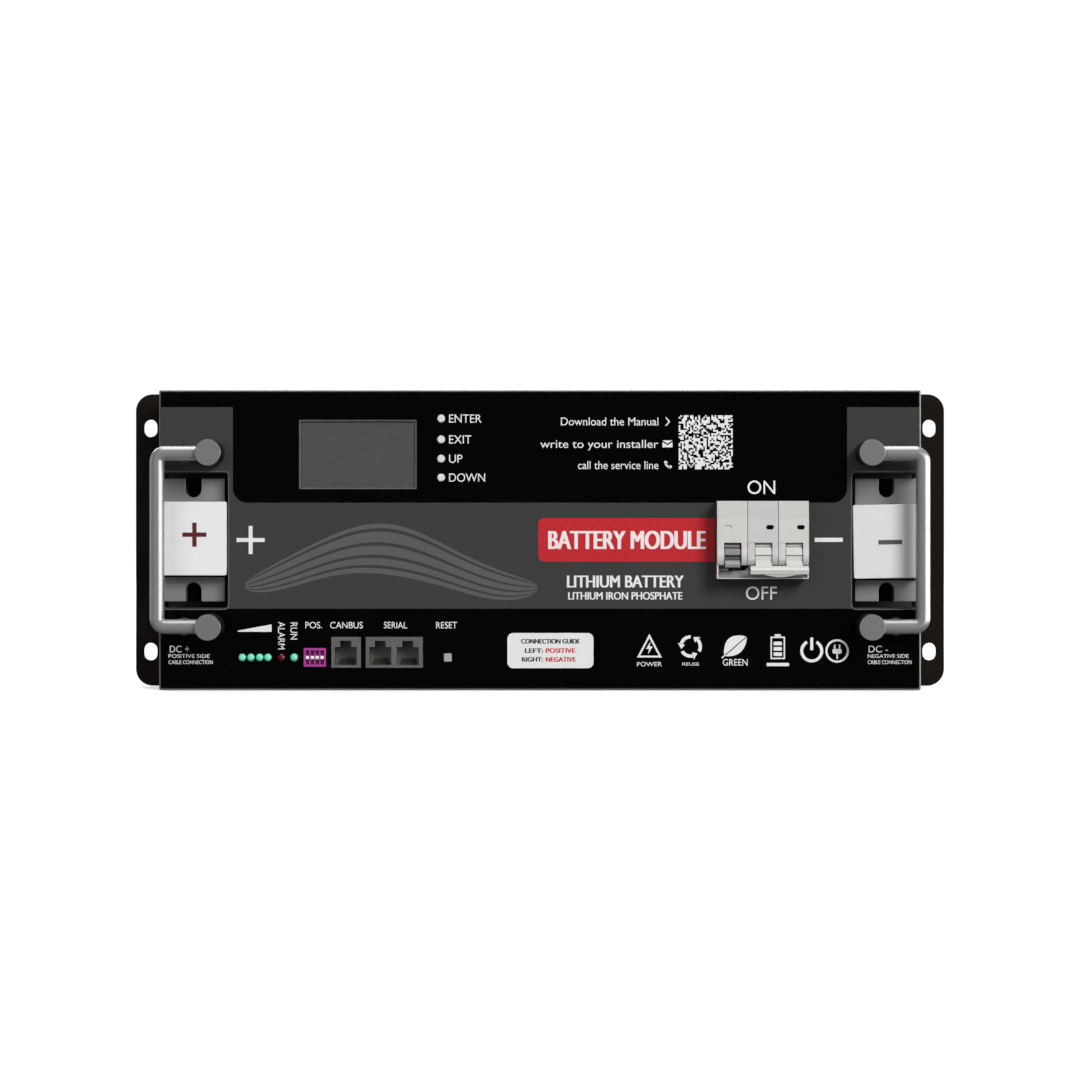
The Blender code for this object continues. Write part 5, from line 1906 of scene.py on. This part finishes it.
def make_socket(name):
    """A jack housing with a keyed mouth, a latch groove and eight sprung contacts for each plug."""
    low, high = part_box(name)
    centres = SOCKET_CENTRES[name]
    body = box(f"jack_{name}", low, high)
    half, key = 0.0064, 0.0032
    bottom, shoulder, top = 0.0145, 0.0250, 0.0286
    back = FACE + 0.0117
    leaf = ((FACE + 0.0066, bottom + 0.0002), (FACE + 0.0070, bottom), (back, 0.0176), (back, 0.0182))
    mouths, contacts = [], []
    for x in centres:
        outline = (
            (x - half, bottom), (x + half, bottom), (x + half, shoulder), (x + key, shoulder),
            (x + key, top), (x - key, top), (x - key, shoulder), (x - half, shoulder),
        )
        mouths.append(plate("mouth", outline, FACE - 0.004, back + 0.0001))
        for k in range(8):
            spot = x + (k - 3.5) * 0.00102
            contacts.append(prism("contact", leaf, 0, spot - 0.00022, spot + 0.00022))
    cut(body, fused("mouths", mouths))
    if len(centres) > 1:
        middle = sum(centres) / 2
        seam_low = (middle - 0.00015, low.y - 0.001, low.z - 0.001)
        cut(body, box("seam", seam_low, (middle + 0.00015, low.y + 0.0004, high.z + 0.001)))
    bevel(clean(body), 0.0003, 2, 60)
    piece(body, socket_grey(), "grey_plastic", stands_for=[name])
    piece(fused(f"contacts_{name}", contacts), gold_contact(), "copper", smooth=None)


# Inside: CAD nodes whose shape is right keep it, and get a detailed material.


def dress(name, made):
    data = nodes[name].data
    data.materials.clear()
    data.materials.append(made)


def dress_inside():
    steel, aluminium = zinc_plate(), mill_aluminium()
    board, cells, carrier = solder_mask(), cell_film(), carrier_plastic()
    for name in ("din_rail", "din_rail_bracket"):
        dress(name, steel)
    for name in ("bms_heatsink", "front_compression_plate", "rear_compression_plate"):
        dress(name, aluminium)
    for name in ("interface_board", "bms_board"):
        dress(name, board)
    for name in ("left_front", "left_rear", "right_front", "right_rear"):
        dress(f"cell_module_{name}", cells)
    dress("cell_link_carrier", carrier)
    dress("display_module", carrier)


# Stage.


def make_floor():
    """A pale floor that fades into the white surround."""
    made, tree = new_material("studio_floor")
    shader = tree.nodes["Principled BSDF"]
    cloud = noise(tree, 3.0, 2.0)
    shades = ramp(tree, cloud.outputs["Fac"], ((0.3, grey(244)), (0.7, grey(250))))
    tree.links.new(shades.outputs["Color"], shader.inputs["Base Color"])
    shader.inputs["Roughness"].default_value = 0.9
    shader.inputs["Emission Color"].default_value = (1.0, 1.0, 1.0, 1.0)
    spot = node(tree, "ShaderNodeTexCoord")
    far = node(tree, "ShaderNodeVectorMath", operation="LENGTH")
    tree.links.new(spot.outputs["Object"], far.inputs[0])
    glow = remap(tree, far.outputs["Value"], (0.6, 2.2), (0.50, 1.05))
    tree.links.new(glow, shader.inputs["Emission Strength"])
    mesh = bmesh.new()
    bmesh.ops.create_circle(mesh, segments=96, radius=30.0, cap_ends=True)
    floor = from_bmesh("studio_floor", mesh)
    floor.location = (0.0, 0.0, -0.0005)
    floor.data.materials.append(made)
    floor.visible_glossy = False
    floor.visible_diffuse = False


def area_light(name, location, target, wide, tall, power, matt=True, gloss=True):
    """A rectangular light. It can be kept out of matt shading or out of reflections."""
    light = bpy.data.lights.new(name, "AREA")
    light.shape = "RECTANGLE"
    light.size = wide
    light.size_y = tall
    light.energy = power
    obj = add_object(name, light)
    obj.location = location
    obj.rotation_euler = (Vector(target) - Vector(location)).to_track_quat("-Z", "Y").to_euler()
    obj.visible_diffuse = matt
    obj.visible_glossy = gloss


def make_lights():
    """A soft key from the upper right front, a fill from the left, and boxes that shine along round edges."""
    front = (0.0, FACE, MID)
    middle = (0.0, 0.0, MID)
    area_light("key_light", (2.45, -4.75, 2.55), front, 2.1, 2.1, 280.0, gloss=False)
    area_light("left_fill", (-2.0, -4.4, 1.0), front, 3.2, 2.4, 56.0, gloss=False)
    area_light("top_light", (0.2, 0.9, 2.6), middle, 1.2, 1.2, 36.0)
    area_light("back_light", (-1.6, 3.0, 1.8), middle, 1.5, 1.5, 60.0)
    area_light("top_box", (0.0, -0.1, 2.4), front, 2.4, 2.9, 88.0, matt=False)
    area_light("right_box", (2.6, -0.85, 0.3), front, 5.0, 2.0, 180.0, matt=False)
    area_light("left_box", (-2.6, 0.7, 0.3), front, 1.6, 1.6, 8.0, matt=False)


def make_world():
    """A white surround for the camera, which lights the object only softly."""
    world = bpy.data.worlds.new("studio")
    world.use_nodes = True
    bpy.context.scene.world = world
    tree = world.node_tree
    shown = tree.nodes["Background"]
    shown.inputs["Color"].default_value = (1.0, 1.0, 1.0, 1.0)
    shown.inputs["Strength"].default_value = 1.05
    soft = node(tree, "ShaderNodeBackground", Color=(1.0, 1.0, 1.0, 1.0), Strength=0.16)
    path = node(tree, "ShaderNodeLightPath")
    mix = node(tree, "ShaderNodeMixShader")
    tree.links.new(path.outputs["Is Camera Ray"], mix.inputs["Fac"])
    tree.links.new(soft.outputs["Background"], mix.inputs[1])
    tree.links.new(shown.outputs["Background"], mix.inputs[2])
    tree.links.new(mix.outputs["Shader"], tree.nodes["World Output"].inputs["Surface"])


def make_camera():
    """An 85 mm lens straight in front of the face plate."""
    data = bpy.data.cameras.new("camera")
    data.sensor_width = 36.0
    data.lens = 85.0
    obj = add_object("camera", data)
    obj.location = (0.0, out(CAMERA_REACH), MID)
    obj.rotation_euler = (math.radians(90), 0.0, 0.0)
    bpy.context.scene.camera = obj


def build():
    make_tray()
    make_lid()
    make_rear()
    make_bezel()
    make_film()
    make_prints()
    for label, side in (("left", -1), ("right", 1)):
        make_ear(label, side)
        make_handle(label, side)
    make_panel_screws()
    make_terminal("positive", -1)
    make_terminal("negative", 1)
    make_breaker()
    make_display()
    make_buttons()
    make_reset()
    make_light_pipes()
    make_address_switch()
    for name in SOCKET_CENTRES:
        make_socket(name)
    dress_inside()
    make_floor()
    make_lights()
    make_world()
    make_camera()
    bpy.context.scene.view_settings.view_transform = "Standard"


build()
